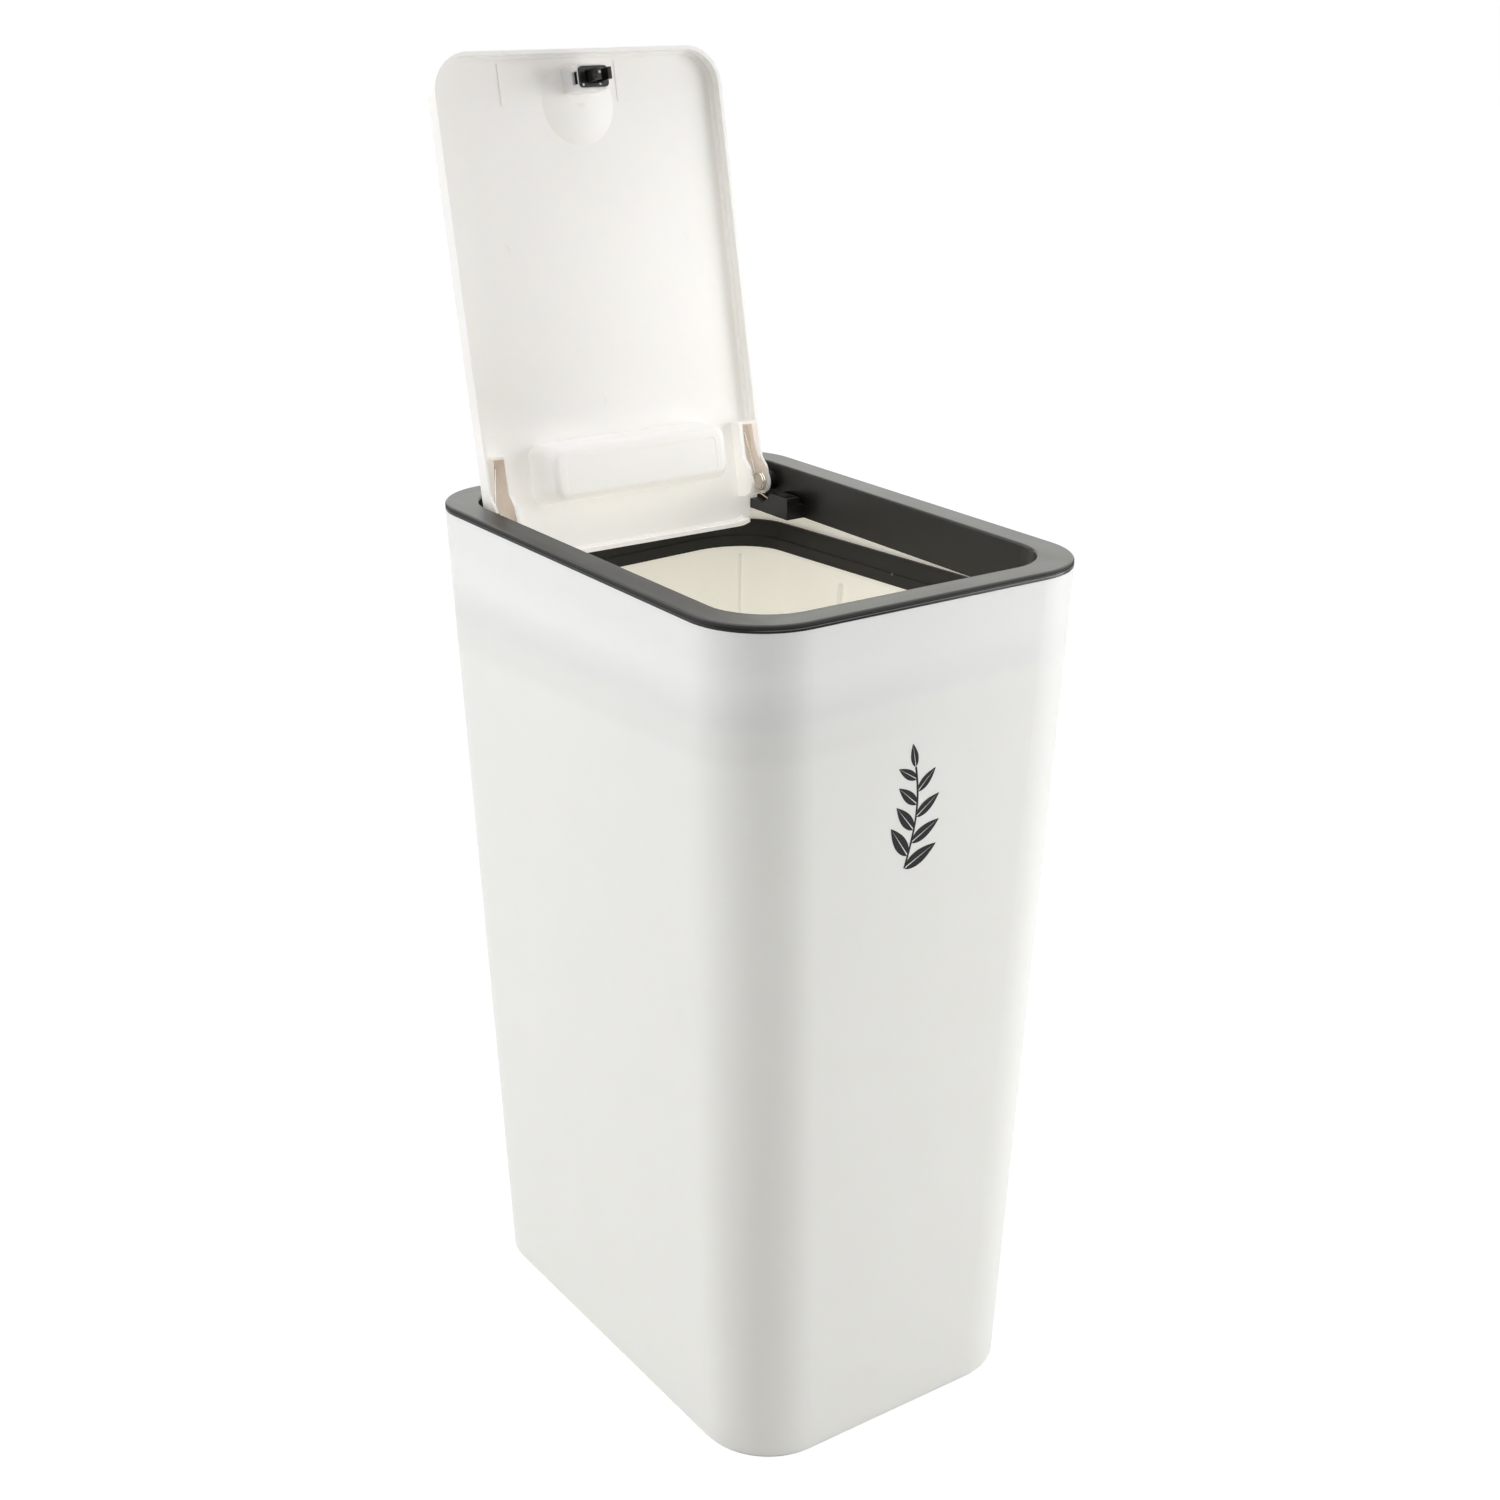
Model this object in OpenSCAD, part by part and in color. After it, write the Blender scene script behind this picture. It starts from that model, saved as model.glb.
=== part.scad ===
// Push-top countertop bin, shown with its sprung inset lid open.
// Origin at the centre of the base, +Z up, the front of the bin faces -Y.

/* [Tub] */
// Height from the table to the top of the frame
bin_h = 330; // [300:1:400]
// Width of the tub's rim
tub_rim_w = 155; // [152:0.5:170]
// Depth of the tub's rim
tub_rim_d = 218.2; // [212:0.2:240]
// Width of the tub's base
tub_base_w = 132.4; // [126:0.2:140]
// Depth of the tub's base
tub_base_d = 198.8; // [190:0.2:208]
// Radius of the tub's upright corners
tub_corner_r = 28.2; // [27:0.2:30]
// Wall of the tub
tub_wall = 1.6; // [1.2:0.1:2]
// Floor of the tub
tub_floor = 2.2; // [1.8:0.1:4]
// How far the foot is set in under the wall
foot_step = 1; // [0.6:0.1:2]
// Height of the foot
foot_h = 1.2; // [0.8:0.1:1.6]
// Height of the top of the inner ribs
rib_top_z = 285.8; // [200:0.2:286]
// How far the inner ribs stand out of the wall
rib_h = 1.4; // [1:0.1:2]
// Width of the rib in each corner
corner_rib_w = 1.4; // [1:0.1:2.4]
// Width of each rib on the long walls
side_rib_w = 2.6; // [1.6:0.1:3.2]
// Distance of each side rib from the middle of the long wall
side_rib_y = 38.5; // [30:0.5:50]

/* [Bag ring] */
// Height of the band
ring_h = 11.6; // [9:0.2:12]
// Thickness of the band
ring_t = 1.2; // [1:0.1:1.6]
// Extra thickness of the band's lower part
ring_step = 0.3; // [0.2:0.05:0.5]
// Share of the band's height that the thicker part takes
ring_step_share = 0.4; // [0.3:0.05:0.6]
// Gap between the band and the tub's wall
ring_gap = 0.5; // [0.4:0.1:0.8]
// Gap between the band and the rib that carries it
ring_seat_gap = 0.3; // [0.2:0.05:0.5]
// Rise of the tilted band per mm to the right
ring_rise_x = 0.028; // [0:0.001:0.03]
// Rise of the tilted band per mm to the front
ring_rise_y = 0.042; // [0:0.001:0.045]

/* [Top frame] */
// Height of the outer bead
bead_h = 2.64; // [2.4:0.02:4]
// Depth of the outer bead, inwards from the outline
bead_w = 2.4; // [2.2:0.1:3]
// Rounding of the bead's top edge
bead_r = 1.1; // [0.8:0.1:1.4]
// Height of the fine groove round the bead
groove_h = 0.4; // [0.2:0.05:0.5]
// Depth of the fine groove round the bead
groove_d = 0.3; // [0.2:0.05:0.5]
// Width of the frame's flat top
flange_w = 11.05; // [10:0.05:13]
// Thickness of the frame's flat top
flange_t = 1.8; // [1.5:0.1:2.4]
// Corner radius of the opening
opening_r = 22.1; // [20:0.1:24]
// Depth of the inner skirt
skirt_h = 18.7; // [18:0.1:20]
// Wall of the inner skirt
skirt_t = 1.5; // [1.2:0.1:2]
// Rounding of the opening's top edge
opening_edge_r = 0.9; // [0.5:0.1:1.2]
// Depth of the locating wall inside the tub
locator_h = 13; // [8:0.5:14]
// Wall of the locating wall
locator_t = 1.5; // [1.2:0.1:2]
// Gap between the locating wall and the tub
locator_gap = 0.35; // [0.2:0.05:0.5]

/* [Lid] */
// Gap between the closed lid and the opening
lid_gap = 3.5; // [3:0.1:4]
// Corner radius of the lid
lid_r = 15; // [13:0.5:17]
// Thickness of the lid's plate
lid_t = 1.9; // [1.6:0.1:2.4]
// Depth of the lid from its top to its lip
lid_depth = 7.9; // [7.5:0.1:8.4]
// Wall of the lid's turned-down edge
lid_wall = 1.5; // [1.3:0.1:1.8]
// Rounding of the lid's top edge
lid_fold_r = 2; // [1.6:0.1:2.4]
// Angle of the open lid
open_angle = 101.5; // [95:0.5:103]
// Radius of the push dimple
dimple_r = 15.3; // [12:0.1:16]
// Depth of the push dimple
dimple_depth = 2; // [1:0.1:2.5]
// Distance of the dimple's centre from the lid's front edge
dimple_setback = 19.5; // [17:0.5:24]
// Side of each square pad
pad_size = 15.4; // [12:0.1:17]
// Height of each square pad
pad_t = 0.35; // [0.2:0.05:0.6]
// Distance of each pad's centre from the middle of the lid
pad_x = 25.5; // [23:0.5:30]

/* [Hinge] */
// Distance of the hinge axis from the lid's rear edge
hinge_setback = 16.9; // [16.5:0.1:17.3]
// Distance of the hinge axis below the top of the lid
hinge_drop = 7.3; // [7.1:0.1:7.4]
// Outer radius of the eye round the hinge pin
eye_r = 4.8; // [4.4:0.1:5]
// Wall of the outer cheek
outer_cheek_t = 1; // [0.8:0.1:1.2]
// Wall of the inner cheek
inner_cheek_t = 1.6; // [1.2:0.1:2]
// Space between the two cheeks
cheek_space = 7.1; // [7:0.1:8]
// Length of the hinge box in front of the axis
hinge_box_front = 24.7; // [23:0.1:26]
// Length of the hinge box behind the axis
hinge_box_rear = 5.2; // [5:0.1:5.4]
// Wall at each end of the hinge box
box_end_t = 1.2; // [1:0.1:1.4]
// Thickness of the rail inside the outer cheek at the box's front end
rail_t = 2.65; // [2:0.05:2.8]
// Height of the rail from the lip
rail_h = 3; // [2:0.1:3.2]
// Radius of the hinge pin's shank
pin_r = 2; // [1.6:0.1:2.2]
// Running clearance of the pin in the lid
pin_clearance = 0.06; // [0.03:0.01:0.1]
// Radius of the hinge pin's head
pin_head_r = 2.95; // [2.7:0.05:3]
// Length of the hinge pin's head
pin_head_l = 2; // [1.2:0.1:2.2]
// Radius of the boss on the frame
boss_r = 4.2; // [3.6:0.1:4.4]
// Gap between the boss and the lid
boss_gap = 0.3; // [0.2:0.05:0.5]

/* [Torsion spring] */
// Diameter of the spring wire
wire_d = 0.6; // [0.5:0.05:0.62]
// Mean radius of the coil
coil_r = 3.6; // [3.55:0.05:3.7]
// Distance between turns of the coil
coil_pitch = 1.05; // [1.05:0.01:1.08]
// Slope of the leg that rests on the frame, in degrees
frame_leg_slope = 12.7; // [10:0.1:14]
// Length of the leg that rests on the frame
frame_leg_l = 16; // [14:0.5:17]
// Length of the leg that lifts the lid
lid_leg_l = 20.6; // [18:0.2:21]
// How far the lid's leg leans to the middle of its box
lid_leg_lean = 2.7; // [1:0.1:3]

/* [Spring rest] */
// Height of the spring-rest block
rest_h = 8.7; // [8:0.1:8.8]
// Height of its low rear part
rest_low_h = 3.9; // [3.2:0.1:4]
// How far the block's front is in front of the axis
rest_front = 23.1; // [22:0.1:24]
// How far the block stands out of the opening's wall
rest_w = 8.45; // [8.3:0.05:8.5]
// Wall of the block's pocket
rest_wall = 0.8; // [0.7:0.05:0.85]
// Floor of the block's pocket
rest_floor = 1.6; // [1.2:0.1:2.2]
// Gap left under the open lid at its stop
stop_gap = 0.35; // [0.3:0.05:0.6]

/* [Push latch] */
// Distance of the latch from the lid's front edge
latch_setback = 11.5; // [11:0.1:13]
// Width of the latch pocket under the lid
pocket_w = 12.4; // [12:0.1:14]
// Size of the latch pocket towards the lid's front edge
pocket_l = 9.4; // [9:0.1:10.4]
// How far the pocket stands below the lid's plate
pocket_h = 13.2; // [12.5:0.1:14]
// Wall of the latch pocket
pocket_wall = 1.2; // [1:0.1:1.4]
// Thickness of the latch housing's flange
latch_flange_t = 1.2; // [1:0.1:1.6]
// Wall of the latch housing
latch_wall = 1.1; // [0.9:0.1:1.2]
// Clearance of the housing in the pocket and of the slider in the housing
latch_gap = 0.25; // [0.2:0.05:0.3]
// Travel of the latch slider
latch_travel = 4.5; // [4:0.1:4.6]
// Length of the latch slider
slider_l = 6; // [5.8:0.1:6.4]
// How far the jaws reach out of the housing
jaw_reach = 8.5; // [8.3:0.1:8.8]
// Thickness of a jaw's arm
jaw_t = 1.15; // [1:0.05:1.3]
// Width of the hook on a jaw's tip
hook_w = 0.65; // [0.5:0.05:0.7]
// Radius of a jaw's trunnion
trunnion_r = 0.55; // [0.45:0.05:0.6]
// Running clearance of the trunnion
trunnion_clearance = 0.05; // [0.03:0.01:0.08]
// Diameter of the latch spring's wire
latch_wire_d = 0.45; // [0.35:0.05:0.5]
// Number of turns of the latch spring
latch_turns = 6; // [4:1:7]
// Width of the striker's head
striker_head_w = 2.4; // [2:0.1:2.5]
// Width of the striker's neck
striker_neck_w = 1; // [0.8:0.1:1.1]
// Thickness of the striker's base and of the frame's front shelf
shelf_t = 1.8; // [1.4:0.1:2.2]
// Width of the frame's front shelf
shelf_w = 14; // [12:0.5:18]

/* [Scent box] */
// Width of the scent box on the lid
scent_w = 82.5; // [74:0.5:90]
// Size of the scent box towards the lid's front
scent_l = 24.1; // [22:0.1:25]
// How far the scent box stands below the lid's plate
scent_h = 16.4; // [12:0.1:18]
// Distance of the scent box from the hinge axis
scent_front = 3; // [2.4:0.1:6]
// Draft of the scent box on each side
scent_draft = 1.8; // [1:0.1:2.4]
// Wall of the scent box
scent_wall = 1.4; // [1.2:0.1:2]
// Rounding of the scent box's corners
scent_r = 5; // [4:0.1:6]
// Rounding of the scent box's face
scent_edge_r = 2.8; // [1.8:0.1:3]
// Width of the cover panel
cover_w = 68.5; // [50:0.5:71]
// Height of the cover panel
cover_l = 13.2; // [11:0.1:14]
// How far the cover panel sits off the middle of the face, towards the hinge
cover_shift = 0.7; // [0:0.1:0.8]
// Thickness of the cover panel
cover_t = 1.2; // [1:0.1:1.6]
// Clearance round the cover panel
cover_gap = 0.2; // [0.15:0.05:0.3]

/* [Hidden] */
$fn = 96;

// Tub
tub_h = bin_h - bead_h;
overshoot = 2;
// how far joined shapes run into each other
overlap = 0.2;
// keeps a round corner a hair inside the flat walls that it meets
corner_relief = 0.02;
cavity_r = tub_corner_r - tub_wall;
ring_outer_r = cavity_r - ring_gap;
ring_zone_low = 270;
ring_zone_top = 318;
function tub_w_at(z) = tub_base_w + (tub_rim_w - tub_base_w) * z / tub_h;
function tub_d_at(z) = tub_base_d + (tub_rim_d - tub_base_d) * z / tub_h;

// The tilted band rests on the rear left corner rib, its lowest corner
corner_line = 1 - sqrt(0.5);
rear_left_x = tub_w_at(rib_top_z) / 2 - tub_wall - cavity_r * corner_line;
rear_left_y = tub_d_at(rib_top_z) / 2 - tub_wall - cavity_r * corner_line;
ring_low_z = rib_top_z + ring_seat_gap + ring_rise_x * rear_left_x + ring_rise_y * rear_left_y;

// Frame
opening_w = tub_rim_w - 2 * flange_w;
opening_d = tub_rim_d - 2 * flange_w;
skirt_z = bin_h - skirt_h;
locator_z = tub_h - locator_h;
locator_w = tub_w_at(locator_z) - 2 * tub_wall - 2 * locator_gap;
locator_d = tub_d_at(locator_z) - 2 * tub_wall - 2 * locator_gap;
locator_r = cavity_r - locator_gap;

// Lid, drawn shut and then turned open about the hinge axis
lid_w = opening_w - 2 * lid_gap;
lid_d = opening_d - 2 * lid_gap;
axis_y = lid_d / 2 - hinge_setback;
axis_z = bin_h - hinge_drop;
plate_z = hinge_drop - lid_t;
lip_z = hinge_drop - lid_depth;
front_s = lid_d - hinge_setback;
cheek_x = lid_w / 2 - outer_cheek_t;
inner_cheek_x = cheek_x - cheek_space - inner_cheek_t;
// the turned-down edge stops this far in from the lid's side, behind the hinge boxes
side_edge_stop = 9.45;
side_edge_end = lid_w / 2 - side_edge_stop;
edge_strip = 4;
edge_round_share = 0.9;
corner_blend = 1;
ejector_r = 2.5;
ejector_t = 0.15;
ejector_places = [[-6.2, 40.4], [-1.1, -3.7], [56, 30.3], [-56, 30.3], [40, 100], [-40, 100]];

// Hinge
boss_x = lid_w / 2 + boss_gap;
pin_end_cover = 0.4;
pin_end_x = opening_w / 2 + skirt_t - pin_end_cover;
pin_head_gap = 0.1;
pin_root = 0.5;
cheek_lip_s = 11;
cheek_curve_s = 4.6;
cheek_curve_h = 4;
rail_start_s = 6;
rail_mid_s = 13.4;
rail_mid_t = 1.8;
rear_wall_t = box_end_t - overlap;
rear_wall_low_z = 1;

// Spring-rest block: its rear end is the stop of the open lid
rest_top_z = skirt_z + rest_h;
rest_low_z = skirt_z + rest_low_h;
rest_x = opening_w / 2 - rest_w;
stop_z = skirt_z - axis_z;
rest_rear = (plate_z - stop_gap - stop_z * cos(open_angle)) / sin(open_angle);
rest_ramp_r = 3;
rest_ramp_run = 5.1;
rest_ramp_nose = 1.2;
rest_ramp_drop = 2.1;
rest_outer_gap = 2.4;
rest_groove_h = 3.2;
rest_front_wall = 1.5;
rest_pocket_start = 4;

// Torsion spring
coil_side_gap = 0.2;
end_bend_r = 0.5;
leg_end_gap = 0.1;
lean_start = 4;
lean_mid = 0.6;
bend_low = 0.2;
bend_high = 0.4;
ring_sides = 6;
coil_steps = 14;
frame_leg_angle = frame_leg_slope - 90;
lid_leg_rise = 2;
lid_leg_angle = 90 - open_angle - lid_leg_rise;
coil_turn = lid_leg_angle - frame_leg_angle + 720;
coil_l = coil_pitch * coil_turn / 360;
coil_outer_x = cheek_x - coil_side_gap - wire_d / 2;

// Latch, in a frame with its origin on the hinge's level above the latch's centre
latch_s = front_s - latch_setback;
pocket_end_z = plate_z - pocket_h;
housing_trim = 0.1;
housing_w = pocket_w - 2 * pocket_wall - 2 * latch_gap - housing_trim;
housing_l = pocket_l - 2 * pocket_wall - 2 * latch_gap + housing_trim;
housing_top_gap = 0.6;
housing_top_z = plate_z - housing_top_gap;
flange_face_z = pocket_end_z - latch_flange_t;
flange_trim = 1.6;
flange_r = 1.6;
slot_end_wall = 0.8;
slot_w = housing_w - 2 * latch_wall;
slot_l = housing_l - 2 * slot_end_wall;
slot_top_z = housing_top_z - latch_wall;
slider_w = slot_w - 2 * latch_gap;
slider_d = slot_l - 2 * latch_gap;
slider_top_z = flange_face_z + slider_l;
jaw_side_gap = 0.4;
jaw_end_trim = 0.2;
jaw_outer_x = slot_w / 2 - jaw_side_gap;
jaw_inner_x = jaw_outer_x - jaw_t;
jaw_tip_z = flange_face_z - jaw_reach;
jaw_arm_top = 0.3;
jaw_nose_w = 0.5;
jaw_nose_h = 0.8;
jaw_lead_h = 0.5;
jaw_root_w = 1.9;
jaw_root_l = 2.4;
jaw_root_drop = 0.6;
jaw_slot_gap = 0.25;
trunnion_set_in = 0.15;
trunnion_rise = 0.8;
trunnion_trim = 0.4;
trunnion_x = jaw_inner_x + trunnion_set_in;
trunnion_z = flange_face_z + trunnion_rise;
hook_h = 1.5;
hook_z = jaw_tip_z + hook_h;
pip_r = 1.3;
pip_t = 0.2;
pip_rise = 2.6;
window_foot = 0.8;
window_h = 4;
window_l = 4.7;
window_low_z = pocket_end_z + window_foot;
ear_l = 3.8;
ear_h = 0.9;
ear_gap = 0.4;
ear_step_h = 0.7;
ear_ramp_h = 2.8;
striker_head_gap = 0.6;
striker_hook_gap = 0.3;
striker_base_gap = 0.4;
striker_head_z = flange_face_z - striker_head_gap;
striker_hook_z = hook_z + latch_travel + striker_hook_gap;
striker_base_z = jaw_tip_z - striker_base_gap;
striker_step_h = 0.6;
striker_tip_w = 0.8;
striker_d = 3.6;
striker_base_w = 7.2;
striker_base_d = 6.4;
striker_peg_r = 1;
striker_base_t = 1.2;
shelf_top_z = striker_base_z - striker_base_t;
shelf_margin = 1;
gusset_t = 1.2;
gusset_l = 9;
latch_coil_r = 1.45;
latch_coil_steps = 8;
latch_seat_r = 1.95;
latch_seat_depth = 2;
latch_seat_gap = 0.05;
latch_coil_low_z = slider_top_z - latch_seat_depth + latch_wire_d / 2 + latch_seat_gap;
latch_coil_top_z = slot_top_z - latch_wire_d / 2 - latch_seat_gap;

// Scent box
scent_face_z = plate_z - scent_h;
scent_mid_s = scent_front + scent_l / 2;
scent_rim_h = 0.5;
scent_corner_fn = 32;
scent_edge_fn = 24;
cover_inset = 0.2;
cover_ledge = 1;
cover_r = 1.5;
cover_hole_r = 1;
cover_back_gap = 0.05;
cover_tab_w = 8;
cover_tab_h = 2;
cover_tab_t = 1;

// ---------- shared shapes ----------

module rounded_outline(w, d, r) {
    square([w - 2 * r, d], center = true);
    square([w, d - 2 * r], center = true);
    for (sx = [-1, 1], sy = [-1, 1])
        translate([sx * (w / 2 - r), sy * (d / 2 - r)])
            circle(r);
}

module trapezoid(w0, w1, h) {
    polygon([[-w0 / 2, 0], [w0 / 2, 0], [w1 / 2, h], [-w1 / 2, h]]);
}

module tapered_prism(w0, d0, w1, d1, h) {
    intersection() {
        rotate([90, 0, 0])
            linear_extrude(2 * max(d0, d1), center = true)
                trapezoid(w0, w1, h);
        rotate([90, 0, 90])
            linear_extrude(2 * max(w0, w1), center = true)
                trapezoid(d0, d1, h);
    }
}

// A rounded box that widens upwards: flat walls with tilted round corners
module tapered_block(w0, d0, w1, d1, h, r) {
    slope_x = (w1 - w0) / 2 / h;
    slope_y = (d1 - d0) / 2 / h;
    inset_x = r * sqrt(1 + slope_x * slope_x);
    inset_y = r * sqrt(1 + slope_y * slope_y);
    turn_y = atan(slope_x);
    turn_x = -atan(slope_y * cos(turn_y));
    tapered_prism(w0, d0 - 2 * inset_y, w1, d1 - 2 * inset_y, h);
    tapered_prism(w0 - 2 * inset_x, d0, w1 - 2 * inset_x, d1, h);
    intersection() {
        union() {
            for (mx = [0, 1], my = [0, 1])
                mirror([mx, 0, 0])
                    mirror([0, my, 0])
                        translate([w0 / 2 - inset_x, d0 / 2 - inset_y, 0])
                            rotate([turn_x, turn_y, 0])
                                translate([0, 0, -r])
                                    cylinder(r = r - corner_relief, h = h + 3 * r);
        }
        translate([-w1, -d1, 0])
            cube([2 * w1, 2 * d1, h]);
    }
}

// A stretch of the tub's taper between two heights, set in by a gap
module tub_stretch(low, top, inset, r) {
    translate([0, 0, low])
        tapered_block(tub_w_at(low) - 2 * inset, tub_d_at(low) - 2 * inset,
            tub_w_at(top) - 2 * inset, tub_d_at(top) - 2 * inset, top - low, r);
}

// Carries a profile round a rounded rectangle; the profile's x is 0 on the outline
module sweep_outline(w, d, r) {
    for (mx = [0, 1])
        mirror([mx, 0, 0])
            translate([w / 2, 0, 0])
                rotate([90, 0, 0])
                    linear_extrude(d - 2 * r, center = true)
                        children();
    for (my = [0, 1])
        mirror([0, my, 0])
            translate([0, d / 2, 0])
                rotate([90, 0, 90])
                    linear_extrude(w - 2 * r, center = true)
                        children();
    for (mx = [0, 1], my = [0, 1])
        mirror([mx, 0, 0])
            mirror([0, my, 0])
                translate([w / 2 - r, d / 2 - r, 0])
                    rotate_extrude(angle = 90)
                        translate([r, 0])
                            children();
}

// A wall profile with a rounded outer top corner: its outer side lies at x = 0
module rounded_wall(t, low, top, r) {
    translate([-t, low])
        square([t, top - r - low]);
    translate([-t, low])
        square([t - r, top - low]);
    translate([-r, top - r])
        circle(r);
}

// ---------- springs: one tube along a list of points ----------

function unit(v) = v / norm(v);
function tangent(p, i) = unit(p[min(i + 1, len(p) - 1)] - p[max(i - 1, 0)]);
function carried(v, t) = unit(v - (v * t) * t);
function tube_normals(p, v, i = 0) =
    i >= len(p) ? [] : let (n = carried(v, tangent(p, i))) concat([n], tube_normals(p, n, i + 1));

// Least distance between the wire's surfaces, for points that lie a good way apart along it
function wire_gap(p, d, skip) = min([for (i = [0 : len(p) - 1 - skip])
    min([for (j = [i + skip : len(p) - 1]) segment_gap(p, i, j)])]) - d;
function segment_gap(p, i, j) =
    let (k = min(j + 1, len(p) - 1), v = p[k] - p[j], l = v * v)
    l == 0 ? norm(p[i] - p[j]) : norm(p[i] - p[j] - v * min(1, max(0, (p[i] - p[j]) * v / l)));

module wire(points, d, first_normal) {
    normals = tube_normals(points, first_normal);
    rings = [for (i = [0 : len(points) - 1])
        let (t = tangent(points, i), n = normals[i], b = cross(t, n))
        for (k = [0 : ring_sides - 1])
            points[i] + d / 2 * (cos(360 * k / ring_sides) * n + sin(360 * k / ring_sides) * b)];
    last = (len(points) - 1) * ring_sides;
    sides = [for (i = [0 : len(points) - 2], k = [0 : ring_sides - 1])
        let (a = i * ring_sides + k, b = i * ring_sides + (k + 1) % ring_sides)
        [[a, a + ring_sides, b + ring_sides], [a, b + ring_sides, b]]];
    start_cap = [for (k = [1 : ring_sides - 2]) [0, k, k + 1]];
    end_cap = [for (k = [1 : ring_sides - 2]) [last, last + k + 1, last + k]];
    polyhedron(rings, concat([for (s = sides) s[0]], [for (s = sides) s[1]], start_cap, end_cap));
}

// ---------- places ----------

// Local z is measured from the hinge axis; local y is the bin's own with the lid shut
module open_place() {
    translate([0, axis_y, axis_z])
        rotate([-open_angle, 0, 0])
            translate([0, -axis_y, 0])
                children();
}

module latch_place() {
    open_place()
        translate([0, axis_y - latch_s, 0])
            children();
}

// ---------- tub ----------

// Two ribs on each long wall and one in each corner; the bag ring rests on their tops
module wall_ribs() {
    corner_x = tub_base_w / 2 - tub_corner_r;
    corner_y = tub_base_d / 2 - tub_corner_r;
    intersection() {
        difference() {
            tub_stretch(foot_h, rib_top_z, tub_wall / 2, tub_corner_r - tub_wall / 2);
            tub_stretch(0, rib_top_z + overshoot, tub_wall + rib_h, cavity_r - rib_h);
        }
        union() {
            for (side = [-1, 1])
                translate([-tub_rim_w / 2, side * side_rib_y - side_rib_w / 2, 0])
                    cube([tub_rim_w, side_rib_w, rib_top_z]);
            for (mx = [0, 1], my = [0, 1])
                mirror([mx, 0, 0])
                    mirror([0, my, 0])
                        translate([corner_x, corner_y, 0])
                            rotate(45)
                                translate([0, -corner_rib_w / 2, 0])
                                    cube([2 * tub_corner_r, corner_rib_w, rib_top_z]);
        }
    }
}

module outer_body() {
    color("whitesmoke") {
        difference() {
            union() {
                tub_stretch(foot_h, tub_h, 0, tub_corner_r);
                linear_extrude(foot_h)
                    rounded_outline(tub_base_w - 2 * foot_step, tub_base_d - 2 * foot_step,
                        tub_corner_r - foot_step);
            }
            tub_stretch(tub_floor, tub_h + overshoot, tub_wall, cavity_r);
        }
        wall_ribs();
    }
}

// ---------- bag ring ----------

module tilted_slab(low, thick) {
    size = 2 * tub_rim_d;
    turn_y = -atan(ring_rise_x);
    turn_x = atan(-ring_rise_y * cos(turn_y));
    translate([0, 0, low])
        rotate([turn_x, turn_y, 0])
            translate([-size / 2, -size / 2, 0])
                cube([size, size, thick]);
}

module bag_ring() {
    color("dimgray")
        difference() {
            intersection() {
                tub_stretch(ring_zone_low, ring_zone_top, tub_wall + ring_gap, ring_outer_r);
                tilted_slab(ring_low_z, ring_h);
            }
            tub_stretch(ring_zone_low - overshoot, ring_zone_top + overshoot,
                tub_wall + ring_gap + ring_t + ring_step, ring_outer_r - ring_t - ring_step);
            intersection() {
                tub_stretch(ring_zone_low, ring_zone_top + overshoot,
                    tub_wall + ring_gap + ring_t, ring_outer_r - ring_t);
                tilted_slab(ring_low_z + ring_h * ring_step_share, 2 * ring_h);
            }
        }
}

// ---------- top frame ----------

module bead_profile() {
    difference() {
        rounded_wall(bead_w, tub_h, bin_h, bead_r);
        translate([-groove_d, tub_h + bead_h * 0.4])
            square([2 * groove_d, groove_h]);
    }
}

module skirt_profile() {
    mirror([1, 0])
        rounded_wall(skirt_t, skirt_z, bin_h, opening_edge_r);
}

module locator_profile() {
    translate([-locator_t, locator_z])
        square([locator_t, bin_h - flange_t / 2 - locator_z]);
}

module flange_plate() {
    translate([0, 0, bin_h - flange_t])
        linear_extrude(flange_t)
            difference() {
                rounded_outline(tub_rim_w - bead_w, tub_rim_d - bead_w, tub_corner_r - bead_w / 2);
                rounded_outline(opening_w + 2 * opening_edge_r, opening_d + 2 * opening_edge_r,
                    opening_r + opening_edge_r);
            }
}

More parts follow.
